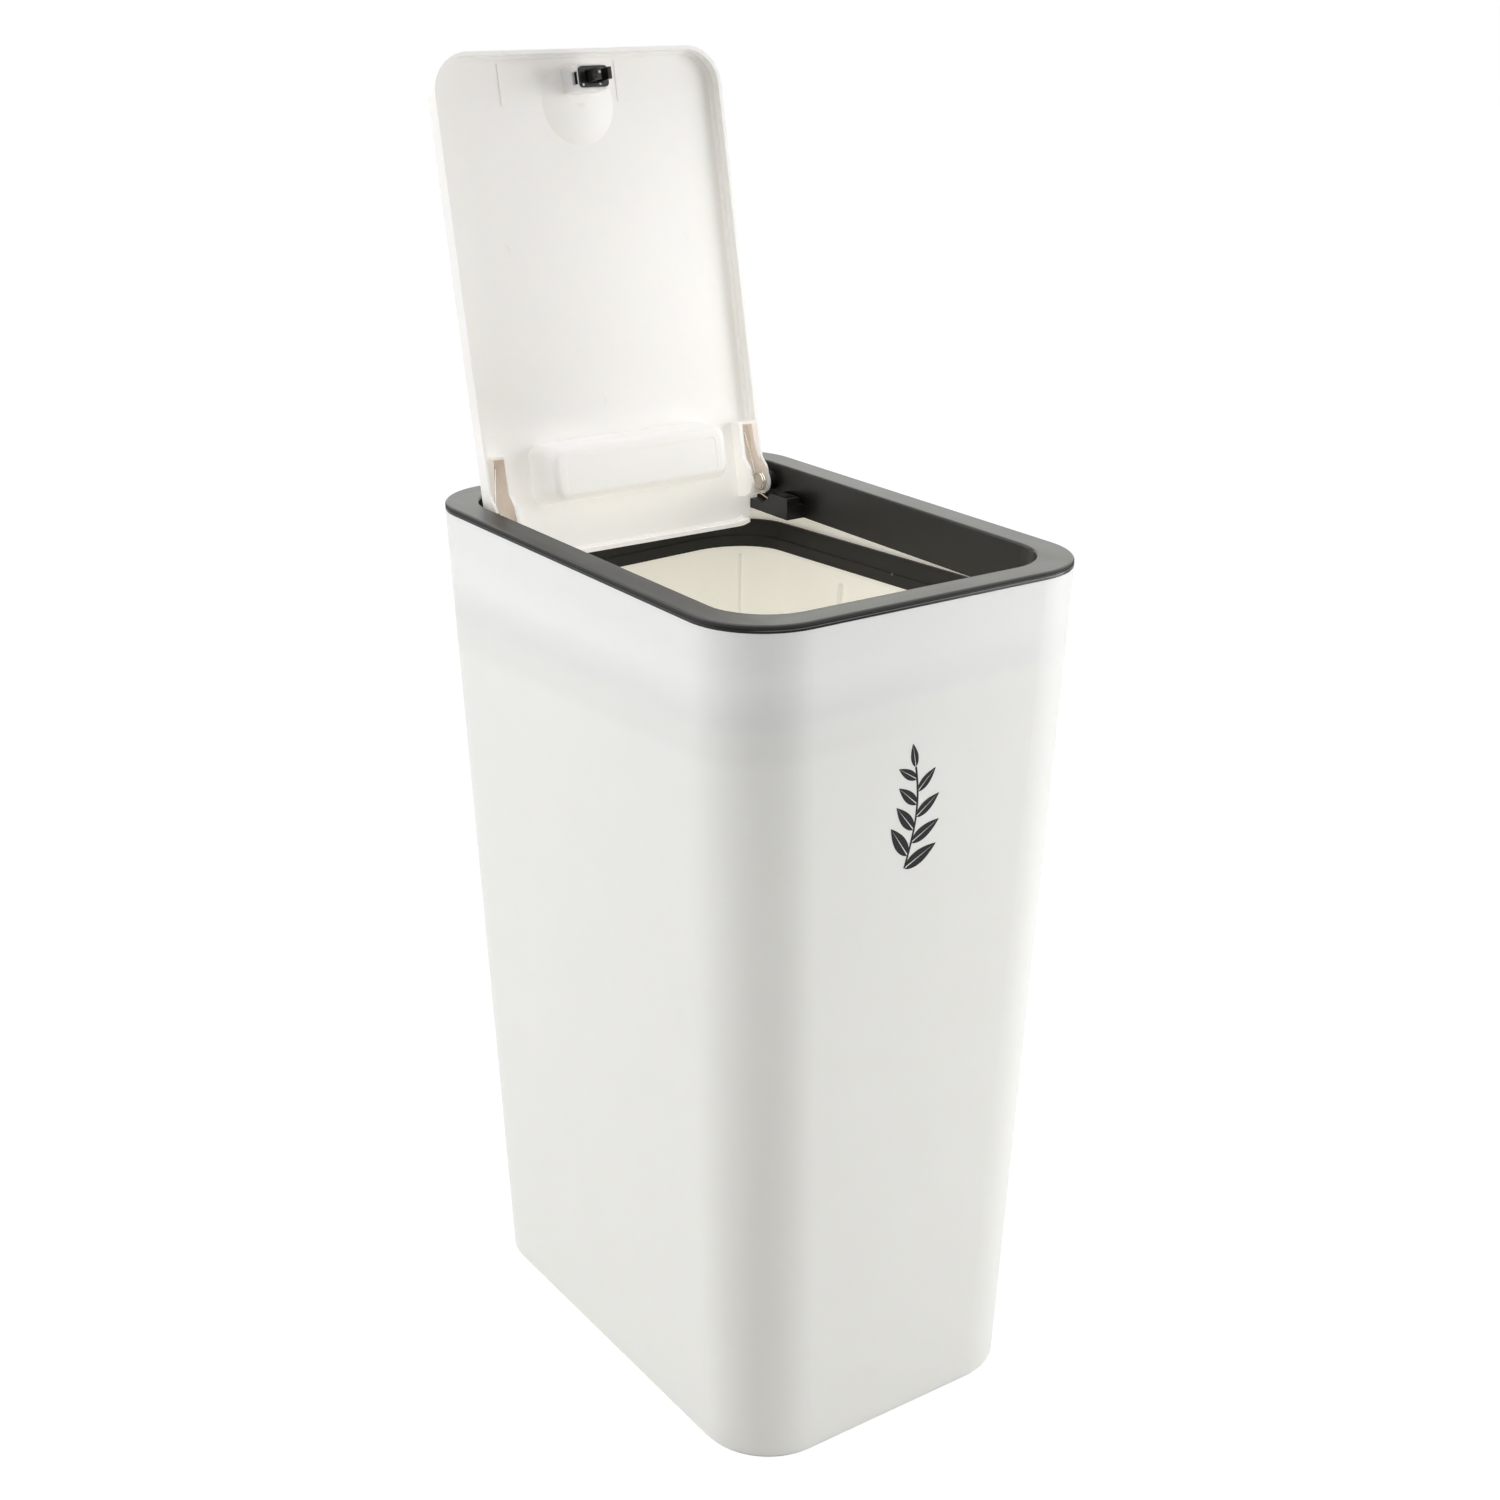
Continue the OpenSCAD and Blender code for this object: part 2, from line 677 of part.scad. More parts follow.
// The block that carries the spring's leg: ramped, with an open pocket, its rear end stops the lid
module spring_rest() {
    pocket_out = opening_w / 2 - rest_outer_gap;
    pocket_w = pocket_out - rest_x - 2 * rest_wall;
    ramp_y = -cheek_lip_s;
    difference() {
        translate([rest_x, axis_y, 0])
            rotate([90, 0, 90])
                linear_extrude(rest_w + skirt_t / 2)
                    union() {
                        translate([-rest_front, skirt_z])
                            square([rest_front + rest_rear, rest_low_h]);
                        translate([-rest_front, skirt_z])
                            square([rest_front + ramp_y - rest_ramp_r / 2, rest_h]);
                        translate([ramp_y - rest_ramp_r / 2, rest_top_z - rest_ramp_r])
                            circle(rest_ramp_r);
                        polygon([
                            [ramp_y - rest_ramp_r, skirt_z],
                            [ramp_y - rest_ramp_r, rest_top_z - rest_ramp_r],
                            [ramp_y + rest_ramp_nose, rest_top_z - rest_ramp_drop],
                            [ramp_y + rest_ramp_run, rest_low_z],
                            [ramp_y + rest_ramp_run, skirt_z]
                        ]);
                    }
        // pocket for the leg, open at the top and to the rear above the low part
        translate([rest_x + rest_wall, axis_y - rest_front + rest_front_wall, skirt_z + rest_floor])
            cube([pocket_w, rest_front + ramp_y, rest_h]);
        translate([rest_x + rest_wall, axis_y + ramp_y - rest_pocket_start, rest_low_z])
            cube([pocket_w, cheek_lip_s + rest_pocket_start, rest_h]);
        // groove that leaves a thin ridge beside the skirt
        translate([pocket_out, axis_y - rest_front - overshoot, rest_top_z - rest_groove_h])
            cube([rest_outer_gap, rest_front + ramp_y + overshoot / 2, rest_h]);
    }
}

module frame_boss() {
    translate([boss_x, axis_y, axis_z])
        rotate([0, 90, 0])
            cylinder(r = boss_r, h = opening_w / 2 + skirt_t / 2 - boss_x);
}

// The shelf that carries the striker hangs from the front of the skirt
module front_shelf() {
    wall_y = -opening_d / 2 - skirt_t;
    low_z = axis_z + shelf_top_z - shelf_t;
    shelf_end_y = axis_y - latch_s + striker_base_d / 2 + shelf_margin;
    difference() {
        union() {
            translate([-shelf_w / 2, wall_y, low_z])
                cube([shelf_w, skirt_t, skirt_z + overlap - low_z]);
            translate([-shelf_w / 2, wall_y, low_z])
                cube([shelf_w, shelf_end_y - wall_y, shelf_t]);
            for (mx = [0, 1])
                mirror([mx, 0, 0])
                    translate([shelf_w / 2 - gusset_t, wall_y + skirt_t, low_z + shelf_t])
                        rotate([90, 0, 90])
                            linear_extrude(gusset_t)
                                polygon([
                                    [-overlap, -overlap],
                                    [gusset_l, -overlap],
                                    [gusset_l, 0],
                                    [-overlap, skirt_z - low_z - shelf_t]
                                ]);
        }
        for (my = [-1, 1])
            translate([0, axis_y - latch_s + my * striker_base_d / 4, low_z - overshoot])
                cylinder(r = striker_peg_r, h = shelf_t + 2 * overshoot);
    }
}

module top_frame() {
    color("dimgray")
        difference() {
            union() {
                sweep_outline(tub_rim_w, tub_rim_d, tub_corner_r)
                    bead_profile();
                flange_plate();
                sweep_outline(opening_w, opening_d, opening_r)
                    skirt_profile();
                sweep_outline(locator_w, locator_d, locator_r)
                    locator_profile();
                for (mx = [0, 1])
                    mirror([mx, 0, 0]) {
                        spring_rest();
                        frame_boss();
                    }
                front_shelf();
            }
            for (mx = [0, 1])
                mirror([mx, 0, 0])
                    translate([boss_x - 1, axis_y, axis_z])
                        rotate([0, 90, 0])
                            cylinder(r = pin_r, h = pin_end_x - boss_x + 1);
        }
}

// ---------- lid ----------

module lid_edge_profile() {
    rounded_wall(lid_wall, lip_z, hinge_drop, lid_wall * edge_round_share);
    difference() {
        union() {
            translate([-edge_strip, plate_z])
                square([edge_strip - lid_fold_r, lid_t]);
            translate([-lid_fold_r, hinge_drop - lid_fold_r])
                circle(lid_fold_r);
            translate([-lid_wall - corner_blend, plate_z - corner_blend])
                square(corner_blend);
        }
        translate([-lid_wall - corner_blend, plate_z - corner_blend])
            circle(corner_blend);
        translate([-edge_strip - overshoot, -lid_depth])
            square([edge_strip - lid_wall - corner_blend + overshoot, plate_z + lid_depth]);
    }
}

// The plate with its rounded, turned-down edge
module lid_shell() {
    translate([0, 0, plate_z])
        linear_extrude(lid_t)
            rounded_outline(lid_w - 2 * lid_fold_r, lid_d - 2 * lid_fold_r, lid_r - lid_fold_r);
    difference() {
        sweep_outline(lid_w, lid_d, lid_r)
            intersection() {
                lid_edge_profile();
                // keeps the fold's outer corner round
                union() {
                    translate([-edge_strip, lip_z])
                        square([edge_strip, hinge_drop - lid_fold_r - lip_z]);
                    translate([-edge_strip, plate_z - corner_blend])
                        square([edge_strip - lid_fold_r, lid_t + corner_blend]);
                    translate([-lid_fold_r, hinge_drop - lid_fold_r])
                        circle(lid_fold_r);
                }
            }
        // the turned-down edge stops behind the hinge boxes
        for (mx = [0, 1])
            mirror([mx, 0, 0])
                translate([side_edge_end, axis_y + hinge_box_rear, -lid_depth])
                    cube([lid_r, lid_r + hinge_setback, lid_depth + plate_z]);
    }
}

// A cheek of the hinge box: an eye round the axis that runs out into the lid's lip
module cheek_profile() {
    steps = 8;
    curve = [for (i = [0 : steps])
        let (t = i / steps, e = t * t * (3 - 2 * t))
        [-cheek_lip_s + (cheek_lip_s - cheek_curve_s) * t, lip_z - (cheek_curve_h + lip_z) * e]];
    circle(eye_r);
    polygon(concat([[hinge_box_rear, plate_z + overlap], [-hinge_box_front, plate_z + overlap],
        [-hinge_box_front, lip_z]], curve, [[0, -cheek_curve_h], [0, 0], [hinge_box_rear, 0]]));
}

module hinge_box() {
    for (x = [inner_cheek_x, cheek_x])
        translate([x, axis_y, 0])
            rotate([90, 0, 90])
                linear_extrude(x == cheek_x ? outer_cheek_t : inner_cheek_t)
                    cheek_profile();
    translate([inner_cheek_x, axis_y - hinge_box_front, lip_z])
        cube([lid_w / 2 - inner_cheek_x, box_end_t, plate_z - lip_z + overlap]);
    translate([inner_cheek_x, axis_y + hinge_box_rear - rear_wall_t, rear_wall_low_z])
        cube([lid_w / 2 - inner_cheek_x, rear_wall_t, plate_z - rear_wall_low_z + overlap]);
    // the rail that thickens the outer cheek towards the box's front end
    translate([cheek_x, axis_y, lip_z])
        linear_extrude(rail_h)
            polygon([
                [overlap, -rail_start_s],
                [0, -rail_start_s],
                [-rail_mid_t, -rail_mid_s],
                [-rail_t, -hinge_box_front + box_end_t - overlap],
                [overlap, -hinge_box_front + box_end_t - overlap]
            ]);
}

// The square socket that the push latch snaps into
module latch_pocket() {
    translate([-pocket_w / 2, axis_y - latch_s - pocket_l / 2, pocket_end_z])
        cube([pocket_w, pocket_l, pocket_h + overlap]);
}

module latch_pocket_hole() {
    hole_w = pocket_w - 2 * pocket_wall;
    hole_l = pocket_l - 2 * pocket_wall;
    translate([-hole_w / 2, axis_y - latch_s - hole_l / 2, pocket_end_z - overshoot])
        cube([hole_w, hole_l, pocket_h + overshoot]);
    translate([-pocket_w, axis_y - latch_s - window_l / 2, window_low_z])
        cube([2 * pocket_w, window_l, window_h]);
}

function cap_r(r, depth) = (r * r + depth * depth) / (2 * depth);
dimple_sphere_r = cap_r(dimple_r, dimple_depth);
dimple_y = axis_y - front_s + dimple_setback;
dimple_centre_z = hinge_drop - dimple_depth + dimple_sphere_r;

module dimple_bulge() {
    intersection() {
        translate([0, dimple_y, dimple_centre_z])
            sphere(dimple_sphere_r + lid_t);
        translate([-dimple_r - overshoot, dimple_y - dimple_r - overshoot, plate_z - 2 * dimple_depth])
            cube([2 * (dimple_r + overshoot), 2 * (dimple_r + overshoot), 2 * dimple_depth + overlap]);
    }
}

// Shallow round marks that the moulding's ejector pins leave
module ejector_marks() {
    for (p = ejector_places)
        translate([p[0], axis_y - p[1], plate_z - overshoot])
            cylinder(r = ejector_r, h = overshoot + ejector_t);
}

module lid_shut() {
    difference() {
        union() {
            difference() {
                lid_shell();
                // clears the space between the cheeks
                for (mx = [0, 1])
                    mirror([mx, 0, 0])
                        translate([inner_cheek_x + inner_cheek_t, axis_y - hinge_box_front + box_end_t,
                            -lid_depth])
                            cube([cheek_space, hinge_box_front + hinge_box_rear - box_end_t,
                                plate_z + lid_depth]);
            }
            for (mx = [0, 1])
                mirror([mx, 0, 0])
                    hinge_box();
            latch_pocket();
            dimple_bulge();
            for (sx = [-1, 1])
                translate([sx * pad_x - pad_size / 2, axis_y - latch_s - pad_size / 2, plate_z - pad_t])
                    cube([pad_size, pad_size, pad_t + overlap]);
        }
        translate([0, dimple_y, dimple_centre_z])
            sphere(dimple_sphere_r);
        latch_pocket_hole();
        ejector_marks();
        for (mx = [0, 1])
            mirror([mx, 0, 0])
                translate([cheek_x - overshoot / 2, axis_y, 0])
                    rotate([0, 90, 0])
                        cylinder(r = pin_r + pin_clearance, h = outer_cheek_t + overshoot);
    }
}

module lid() {
    color("white")
        open_place()
            lid_shut();
}

// ---------- hinge pins and torsion springs ----------

module hinge_pin(side) {
    color("silver")
        translate([0, axis_y, axis_z])
            mirror([side < 0 ? 1 : 0, 0, 0])
                rotate([0, 90, 0]) {
                    translate([0, 0, cheek_x - pin_head_gap - pin_head_l])
                        cylinder(r = pin_head_r, h = pin_head_l);
                    translate([0, 0, cheek_x - pin_head_gap - pin_root])
                        cylinder(r = pin_r, h = pin_end_x - cheek_x + pin_head_gap + pin_root);
                }
}

module hinge_pin_left() {
    hinge_pin(-1);
}

module hinge_pin_right() {
    hinge_pin(1);
}

// Both springs are wound the same way, so on the left the legs swap their ends of the coil
function coil_point(a, x) = [x, coil_r * cos(a), coil_r * sin(a)];
function spring_points(side) =
    let (
        x0 = side > 0 ? coil_outer_x - coil_l : -coil_outer_x,
        x1 = x0 + coil_l,
        leg_dir = [0, -cos(frame_leg_slope), -sin(frame_leg_slope)],
        a0 = coil_point(frame_leg_angle, x0),
        leg_end = a0 + frame_leg_l * leg_dir,
        floor_z = skirt_z + rest_floor - axis_z + leg_end_gap,
        lid_dir = [0, -sin(lid_leg_angle), cos(lid_leg_angle)],
        press_dir = [0, sin(open_angle), cos(open_angle)],
        a1 = coil_point(lid_leg_angle, x1),
        lean = [-side * lid_leg_lean, 0, 0],
        tip = a1 + lid_leg_l * lid_dir + lean,
        press_l = plate_z - leg_end_gap - tip * press_dir,
        count = ceil(coil_turn / 360 * coil_steps)
    )
    concat(
        [[leg_end[0], leg_end[1] - end_bend_r, floor_z],
            [leg_end[0], leg_end[1] - end_bend_r, leg_end[2] - 2 * end_bend_r],
            leg_end + end_bend_r * [0, -bend_low / 2, -bend_high],
            leg_end - 2 * end_bend_r * leg_dir,
            a0 + frame_leg_l / 2 * leg_dir],
        [for (i = [0 : count])
            coil_point(frame_leg_angle + coil_turn * i / count, x0 + coil_l * i / count)],
        [a1 + lean_start * lid_dir,
            a1 + lean_mid * lid_leg_l * lid_dir + lean / 2,
            tip - end_bend_r * lid_dir,
            tip + (bend_low + bend_high) / 2 * end_bend_r * press_dir,
            tip + bend_low * end_bend_r * lid_dir + press_l / 2 * press_dir,
            tip + bend_low * end_bend_r * lid_dir + press_l * press_dir]
    );

module torsion_spring(side) {
    points = spring_points(side);
    echo(side > 0 ? "right torsion spring, least gap to itself" : "left torsion spring, least gap to itself",
        wire_gap(points, wire_d, 6));
    color("silver")
        translate([0, axis_y, axis_z])
            wire(points, wire_d, [1, 0, 0]);
}

module torsion_spring_left() {
    torsion_spring(-1);
}

module torsion_spring_right() {
    torsion_spring(1);
}

// ---------- push latch ----------

// The bent side of the housing that catches in the pocket's window
module housing_ear() {
    low_z = window_low_z + ear_gap;
    rotate([90, 0, 0])
        linear_extrude(ear_l, center = true)
            polygon([
                [housing_w / 2 - overlap, low_z],
                [housing_w / 2 + ear_h, low_z],
                [housing_w / 2 + ear_h, low_z + ear_step_h],
                [housing_w / 2, low_z + ear_ramp_h],
                [housing_w / 2 - overlap, low_z + ear_ramp_h]
            ]);
}

module latch_housing() {
    color("black")
        latch_place()
            difference() {
                union() {
                    translate([0, 0, flange_face_z])
                        linear_extrude(latch_flange_t)
                            rounded_outline(pocket_w, pocket_l - flange_trim, flange_r);
                    translate([-housing_w / 2, -housing_l / 2, pocket_end_z - overlap])
                        cube([housing_w, housing_l, housing_top_z - pocket_end_z + overlap]);
                    for (mx = [0, 1])
                        mirror([mx, 0, 0])
                            housing_ear();
                }
                translate([-slot_w / 2, -slot_l / 2, flange_face_z - overshoot])
                    cube([slot_w, slot_l, slot_top_z - flange_face_z + overshoot]);
            }
}

module latch_slider() {
    root_x = trunnion_x - jaw_root_w / 2 - jaw_slot_gap;
    root_top_z = trunnion_z + jaw_root_w / 2 + jaw_slot_gap;
    color("dimgray")
        latch_place()
            difference() {
                translate([-slider_w / 2, -slider_d / 2, flange_face_z])
                    cube([slider_w, slider_d, slider_l]);
                for (mx = [0, 1])
                    mirror([mx, 0, 0]) {
                        translate([root_x, -jaw_root_l / 2 - jaw_slot_gap, flange_face_z - overshoot])
                            cube([slider_w, jaw_root_l + 2 * jaw_slot_gap,
                                root_top_z - flange_face_z + overshoot]);
                        translate([trunnion_x, 0, trunnion_z])
                            rotate([90, 0, 0])
                                cylinder(r = trunnion_r + trunnion_clearance, h = 2 * slider_d, center = true);
                    }
                translate([0, 0, slider_top_z - latch_seat_depth])
                    cylinder(r = latch_seat_r, h = latch_seat_depth + overshoot);
            }
}

module latch_jaw(side) {
    root_low_z = flange_face_z - jaw_root_drop;
    color("dimgray")
        latch_place()
            mirror([side < 0 ? 1 : 0, 0, 0]) {
                // the arm with its hook and lead-in
                rotate([90, 0, 0])
                    linear_extrude(slider_d - jaw_end_trim, center = true)
                        polygon([
                            [jaw_outer_x, root_low_z + jaw_arm_top],
                            [jaw_outer_x, jaw_tip_z + jaw_nose_h],
                            [jaw_outer_x - jaw_nose_w, jaw_tip_z],
                            [jaw_inner_x, jaw_tip_z],
                            [jaw_inner_x - hook_w, jaw_tip_z + jaw_lead_h],
                            [jaw_inner_x - hook_w, hook_z],
                            [jaw_inner_x, hook_z],
                            [jaw_inner_x, root_low_z + jaw_arm_top]
                        ]);
                // the root that turns in the slider
                translate([trunnion_x - jaw_root_w / 2, -jaw_root_l / 2, root_low_z])
                    cube([jaw_root_w, jaw_root_l, trunnion_z - root_low_z]);
                translate([trunnion_x, 0, trunnion_z])
                    rotate([90, 0, 0]) {
                        cylinder(r = jaw_root_w / 2, h = jaw_root_l, center = true);
                        cylinder(r = trunnion_r, h = slider_d - trunnion_trim, center = true);
                    }
                // round pip on the outer side
                translate([jaw_outer_x - pip_t, 0, jaw_tip_z + pip_rise])
                    rotate([0, 90, 0])
                        cylinder(r = pip_r, h = 2 * pip_t);
            }
}

module latch_jaw_left() {
    latch_jaw(-1);
}

module latch_jaw_right() {
    latch_jaw(1);
}

function latch_spring_points() =
    let (
        low = latch_coil_low_z - latch_wire_d / 2,
        top = latch_coil_top_z + latch_wire_d / 2,
        rise = top - low - 2 * latch_wire_d,
        count = latch_turns * latch_coil_steps
    )
    concat(
        [[latch_coil_r, 0, low]],
        [for (i = [0 : count])
            [latch_coil_r * cos(360 * i / latch_coil_steps), latch_coil_r * sin(360 * i / latch_coil_steps),
                low + latch_wire_d + rise * i / count]],
        [[latch_coil_r, 0, top]]
    );

module latch_spring() {
    points = latch_spring_points();
    echo("latch spring, least gap to itself", wire_gap(points, latch_wire_d, 6));
    color("silver")
        latch_place()
            wire(points, latch_wire_d, [1, 0, 0]);
}

// The striker is drawn where the shut lid's jaws meet it
module latch_striker() {
    neck_x = striker_neck_w / 2;
    head_x = striker_head_w / 2;
    tip_x = striker_tip_w / 2;
    color("black")
        translate([0, axis_y - latch_s, axis_z]) {
            rotate([90, 0, 0])
                linear_extrude(striker_d, center = true)
                    polygon([
                        [-neck_x, striker_base_z - overlap],
                        [-neck_x, striker_hook_z],
                        [-head_x, striker_hook_z],
                        [-head_x, striker_hook_z + striker_step_h],
                        [-tip_x, striker_head_z],
                        [tip_x, striker_head_z],
                        [head_x, striker_hook_z + striker_step_h],
                        [head_x, striker_hook_z],
                        [neck_x, striker_hook_z],
                        [neck_x, striker_base_z - overlap]
                    ]);
            translate([-striker_base_w / 2, -striker_base_d / 2, shelf_top_z])
                cube([striker_base_w, striker_base_d, striker_base_t]);
            for (my = [-1, 1])
                translate([0, my * striker_base_d / 4, shelf_top_z - shelf_t])
                    cylinder(r = striker_peg_r, h = shelf_t + overlap);
        }
}

// ---------- scent box ----------

// A quarter-round edge below a flat disc, as a profile
module edge_profile(r, edge) {
    translate([r - edge, edge])
        intersection() {
            circle(edge, $fn = scent_edge_fn);
            translate([0, -edge])
                square(edge);
        }
    square([r - edge, edge]);
}

// A rounded box that narrows towards its face; the face's edge is round
module scent_block(inset, depth, rise) {
    w = scent_w / 2 - inset;
    l = scent_l / 2 - inset;
    r = scent_r - inset;
    hull()
        for (sx = [-1, 1], sy = [-1, 1]) {
            translate([sx * (w - r), sy * (l - r), plate_z - scent_rim_h])
                cylinder(r = r, h = scent_rim_h + rise, $fn = scent_corner_fn);
            translate([sx * (w - scent_draft - r), sy * (l - scent_draft - r), plate_z - depth])
                rotate_extrude($fn = scent_corner_fn)
                    edge_profile(r, scent_edge_r - inset);
        }
}

module scent_place() {
    open_place()
        translate([0, axis_y - scent_mid_s, 0])
            children();
}

// The box is open at its back, where the lid's plate closes it
module scent_box() {
    color("white")
        scent_place()
            difference() {
                scent_block(0, scent_h, 0);
                scent_block(scent_wall, scent_h - scent_wall, overlap);
                translate([0, cover_shift, scent_face_z - overshoot])
                    linear_extrude(cover_t + cover_inset + overshoot)
                        rounded_outline(cover_w, cover_l, cover_r);
                translate([0, cover_shift, scent_face_z - overshoot])
                    linear_extrude(scent_wall + 2 * overshoot)
                        rounded_outline(cover_w - 2 * cover_ledge, cover_l - 2 * cover_ledge, cover_hole_r);
            }
}

module scent_cover() {
    tab_x = cover_w / 2 - cover_ledge - cover_gap - cover_tab_t;
    color("white")
        scent_place()
            translate([0, cover_shift, scent_face_z + cover_inset]) {
                linear_extrude(cover_t - cover_back_gap)
                    rounded_outline(cover_w - 2 * cover_gap, cover_l - 2 * cover_gap, cover_r - cover_gap);
                for (sx = [-1, 1])
                    translate([sx * tab_x - cover_tab_t / 2, -cover_tab_w / 2, 0])
                        cube([cover_tab_t, cover_tab_w, cover_t + cover_tab_h]);
            }
}

outer_body();
top_frame();
bag_ring();
lid();
hinge_pin_left();
hinge_pin_right();
torsion_spring_left();
torsion_spring_right();
latch_housing();
latch_slider();
latch_jaw_left();
latch_jaw_right();
latch_spring();
latch_striker();
scent_box();
scent_cover();
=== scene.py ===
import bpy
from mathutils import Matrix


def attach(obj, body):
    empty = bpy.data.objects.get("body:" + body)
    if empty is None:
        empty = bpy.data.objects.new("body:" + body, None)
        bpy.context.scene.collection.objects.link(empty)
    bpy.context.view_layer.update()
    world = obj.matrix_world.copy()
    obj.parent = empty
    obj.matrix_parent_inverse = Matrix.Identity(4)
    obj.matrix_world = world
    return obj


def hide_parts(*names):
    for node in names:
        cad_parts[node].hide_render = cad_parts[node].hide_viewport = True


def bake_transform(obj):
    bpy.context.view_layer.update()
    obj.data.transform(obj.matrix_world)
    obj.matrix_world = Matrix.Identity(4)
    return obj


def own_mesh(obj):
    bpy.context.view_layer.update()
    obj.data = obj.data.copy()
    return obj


bl_info = {
    "name": "Push top countertop bin",
    "version": (1, 0, 0),
    "blender": (4, 5, 0),
    "location": "View3D > Sidebar > Bin",
    "description": "Dresses the bin's frame with its plastics, springs and printed motif",
    "category": "Object",
}

import math

import bpy
import bmesh
from mathutils import Matrix, Vector

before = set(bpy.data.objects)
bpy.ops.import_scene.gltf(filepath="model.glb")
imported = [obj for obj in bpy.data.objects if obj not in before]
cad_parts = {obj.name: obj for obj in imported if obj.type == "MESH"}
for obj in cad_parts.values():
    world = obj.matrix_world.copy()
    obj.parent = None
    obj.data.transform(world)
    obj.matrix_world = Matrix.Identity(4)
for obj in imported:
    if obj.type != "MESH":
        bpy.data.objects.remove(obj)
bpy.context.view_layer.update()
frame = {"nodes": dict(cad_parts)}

MM = 0.001

# sizes that the springs, the print and the tones share with the bin's construction, in mm
AXIS_Y, AXIS_Z = 77.65, 322.7
OPEN_ANGLE = 101.5
SKIRT_Z = 311.3
PLATE_Z = 5.4
TUB_H = 327.36
TUB_BASE_W, TUB_RIM_W = 132.4, 155.0
TUB_BASE_D, TUB_RIM_D = 198.8, 218.2
TUB_CORNER_R = 28.2
CHEEK_X, INNER_CHEEK_X = 61.95, 54.85
HINGE_BOX_FRONT, HINGE_BOX_REAR = 24.7, 5.2
# how much the tilted bag ring rises per mm to the right and to the front
RING_RISE_X, RING_RISE_Y = 0.028, 0.042


# ---------- what a user would change ----------

class BinColours(bpy.types.PropertyGroup):
    """Colours of the bin's plastics, metal and ink"""
    tub: bpy.props.FloatVectorProperty(
        name="Tub", description="White of the tub", subtype="COLOR", default=(0.86, 0.86, 0.83))
    lid: bpy.props.FloatVectorProperty(
        name="Lid", description="Warm white of the lid", subtype="COLOR", default=(0.925, 0.91, 0.89))
    frame: bpy.props.FloatVectorProperty(
        name="Frame", description="Near black of the top frame", subtype="COLOR",
        default=(0.010, 0.0098, 0.0095))
    latch: bpy.props.FloatVectorProperty(
        name="Latch", description="Black of the push latch", subtype="COLOR",
        default=(0.007, 0.007, 0.007))
    ring: bpy.props.FloatVectorProperty(
        name="Bag ring", description="Near black of the bag ring", subtype="COLOR",
        default=(0.009, 0.0088, 0.0085))
    steel: bpy.props.FloatVectorProperty(
        name="Steel", description="Colour of pins and springs", subtype="COLOR",
        default=(0.78, 0.76, 0.72))
    ink: bpy.props.FloatVectorProperty(
        name="Ink", description="Colour of the printed motif", subtype="COLOR",
        default=(0.012, 0.012, 0.013))


class BinFinish(bpy.types.PropertyGroup):
    """Surface finish of the plastics"""
    tub_roughness: bpy.props.FloatProperty(
        name="Tub roughness", description="Roughness of the tub's satin", min=0, max=1, default=0.38)
    lid_roughness: bpy.props.FloatProperty(
        name="Lid roughness", description="Roughness of the lid's plastic", min=0, max=1, default=0.38)
    frame_roughness: bpy.props.FloatProperty(
        name="Frame roughness", description="Roughness of the dark frame", min=0, max=1, default=0.36)
    grain: bpy.props.FloatProperty(
        name="Grain", description="Strength of the moulded grain", min=0, max=1, default=0.12)
    # painted shade: how dark the band painted into the tub's colour is
    show_through: bpy.props.FloatProperty(
        name="Show through", description="How much the dark frame inside shades the tub's wall",
        min=0, max=0.5, default=0.06)
    depth: bpy.props.FloatProperty(
        name="Milky depth", description="How far light travels inside the white plastics", unit="LENGTH",
        default=4 * MM)
    # painted light: emission inside the tub, standing in for light through its walls
    tub_glow: bpy.props.FloatProperty(
        name="Tub glow", description="Light that comes through the tub's walls into it", min=0, max=1,
        default=0.22)
    # painted light: emission on the lid and scent box, standing in for light through them
    lid_glow: bpy.props.FloatProperty(
        name="Lid glow", description="Light that comes through the lid and the scent box", min=0, max=1,
        default=0.2)
    ring_roughness: bpy.props.FloatProperty(
        name="Ring roughness", description="Roughness of the bag ring", min=0, max=1, default=0.5)


class BinSprings(bpy.types.PropertyGroup):
    """The round steel wire of the two lid springs and the latch spring"""
    wire: bpy.props.FloatProperty(
        name="Lid spring wire", description="Diameter of the lid springs' wire", unit="LENGTH",
        default=0.6 * MM)
    coil_radius: bpy.props.FloatProperty(
        name="Coil radius", description="Mean radius of the lid springs' coil", unit="LENGTH",
        default=3.6 * MM)
    pitch: bpy.props.FloatProperty(
        name="Pitch", description="Distance between turns of the lid springs", unit="LENGTH",
        default=1.05 * MM)
    frame_leg: bpy.props.FloatProperty(
        name="Frame leg", description="Length of the leg that rests on the frame", unit="LENGTH",
        default=16 * MM)
    lid_leg: bpy.props.FloatProperty(
        name="Lid leg", description="Length of the leg that lifts the lid", unit="LENGTH",
        default=20.6 * MM)
    latch_wire: bpy.props.FloatProperty(
        name="Latch spring wire", description="Diameter of the latch spring's wire", unit="LENGTH",
        default=0.45 * MM)


class BinPrint(bpy.types.PropertyGroup):
    """The printed sprig on the front wall"""
    height: bpy.props.FloatProperty(
        name="Height", description="Height of the sprig", unit="LENGTH", default=43 * MM)
    centre: bpy.props.FloatVectorProperty(
        name="Centre", description="Middle of the sprig, across and up the front wall", size=2,
        unit="LENGTH", default=(-5 * MM, 252 * MM))
    leaf: bpy.props.FloatProperty(
        name="Leaf", description="Length of the longest leaf", unit="LENGTH", default=15 * MM)
    leaves: bpy.props.IntProperty(
        name="Leaves", description="Number of leaves along the stem", min=3, max=20, default=9)
    stem: bpy.props.FloatProperty(
        name="Stem", description="Width of the stem", unit="LENGTH", default=0.8 * MM)


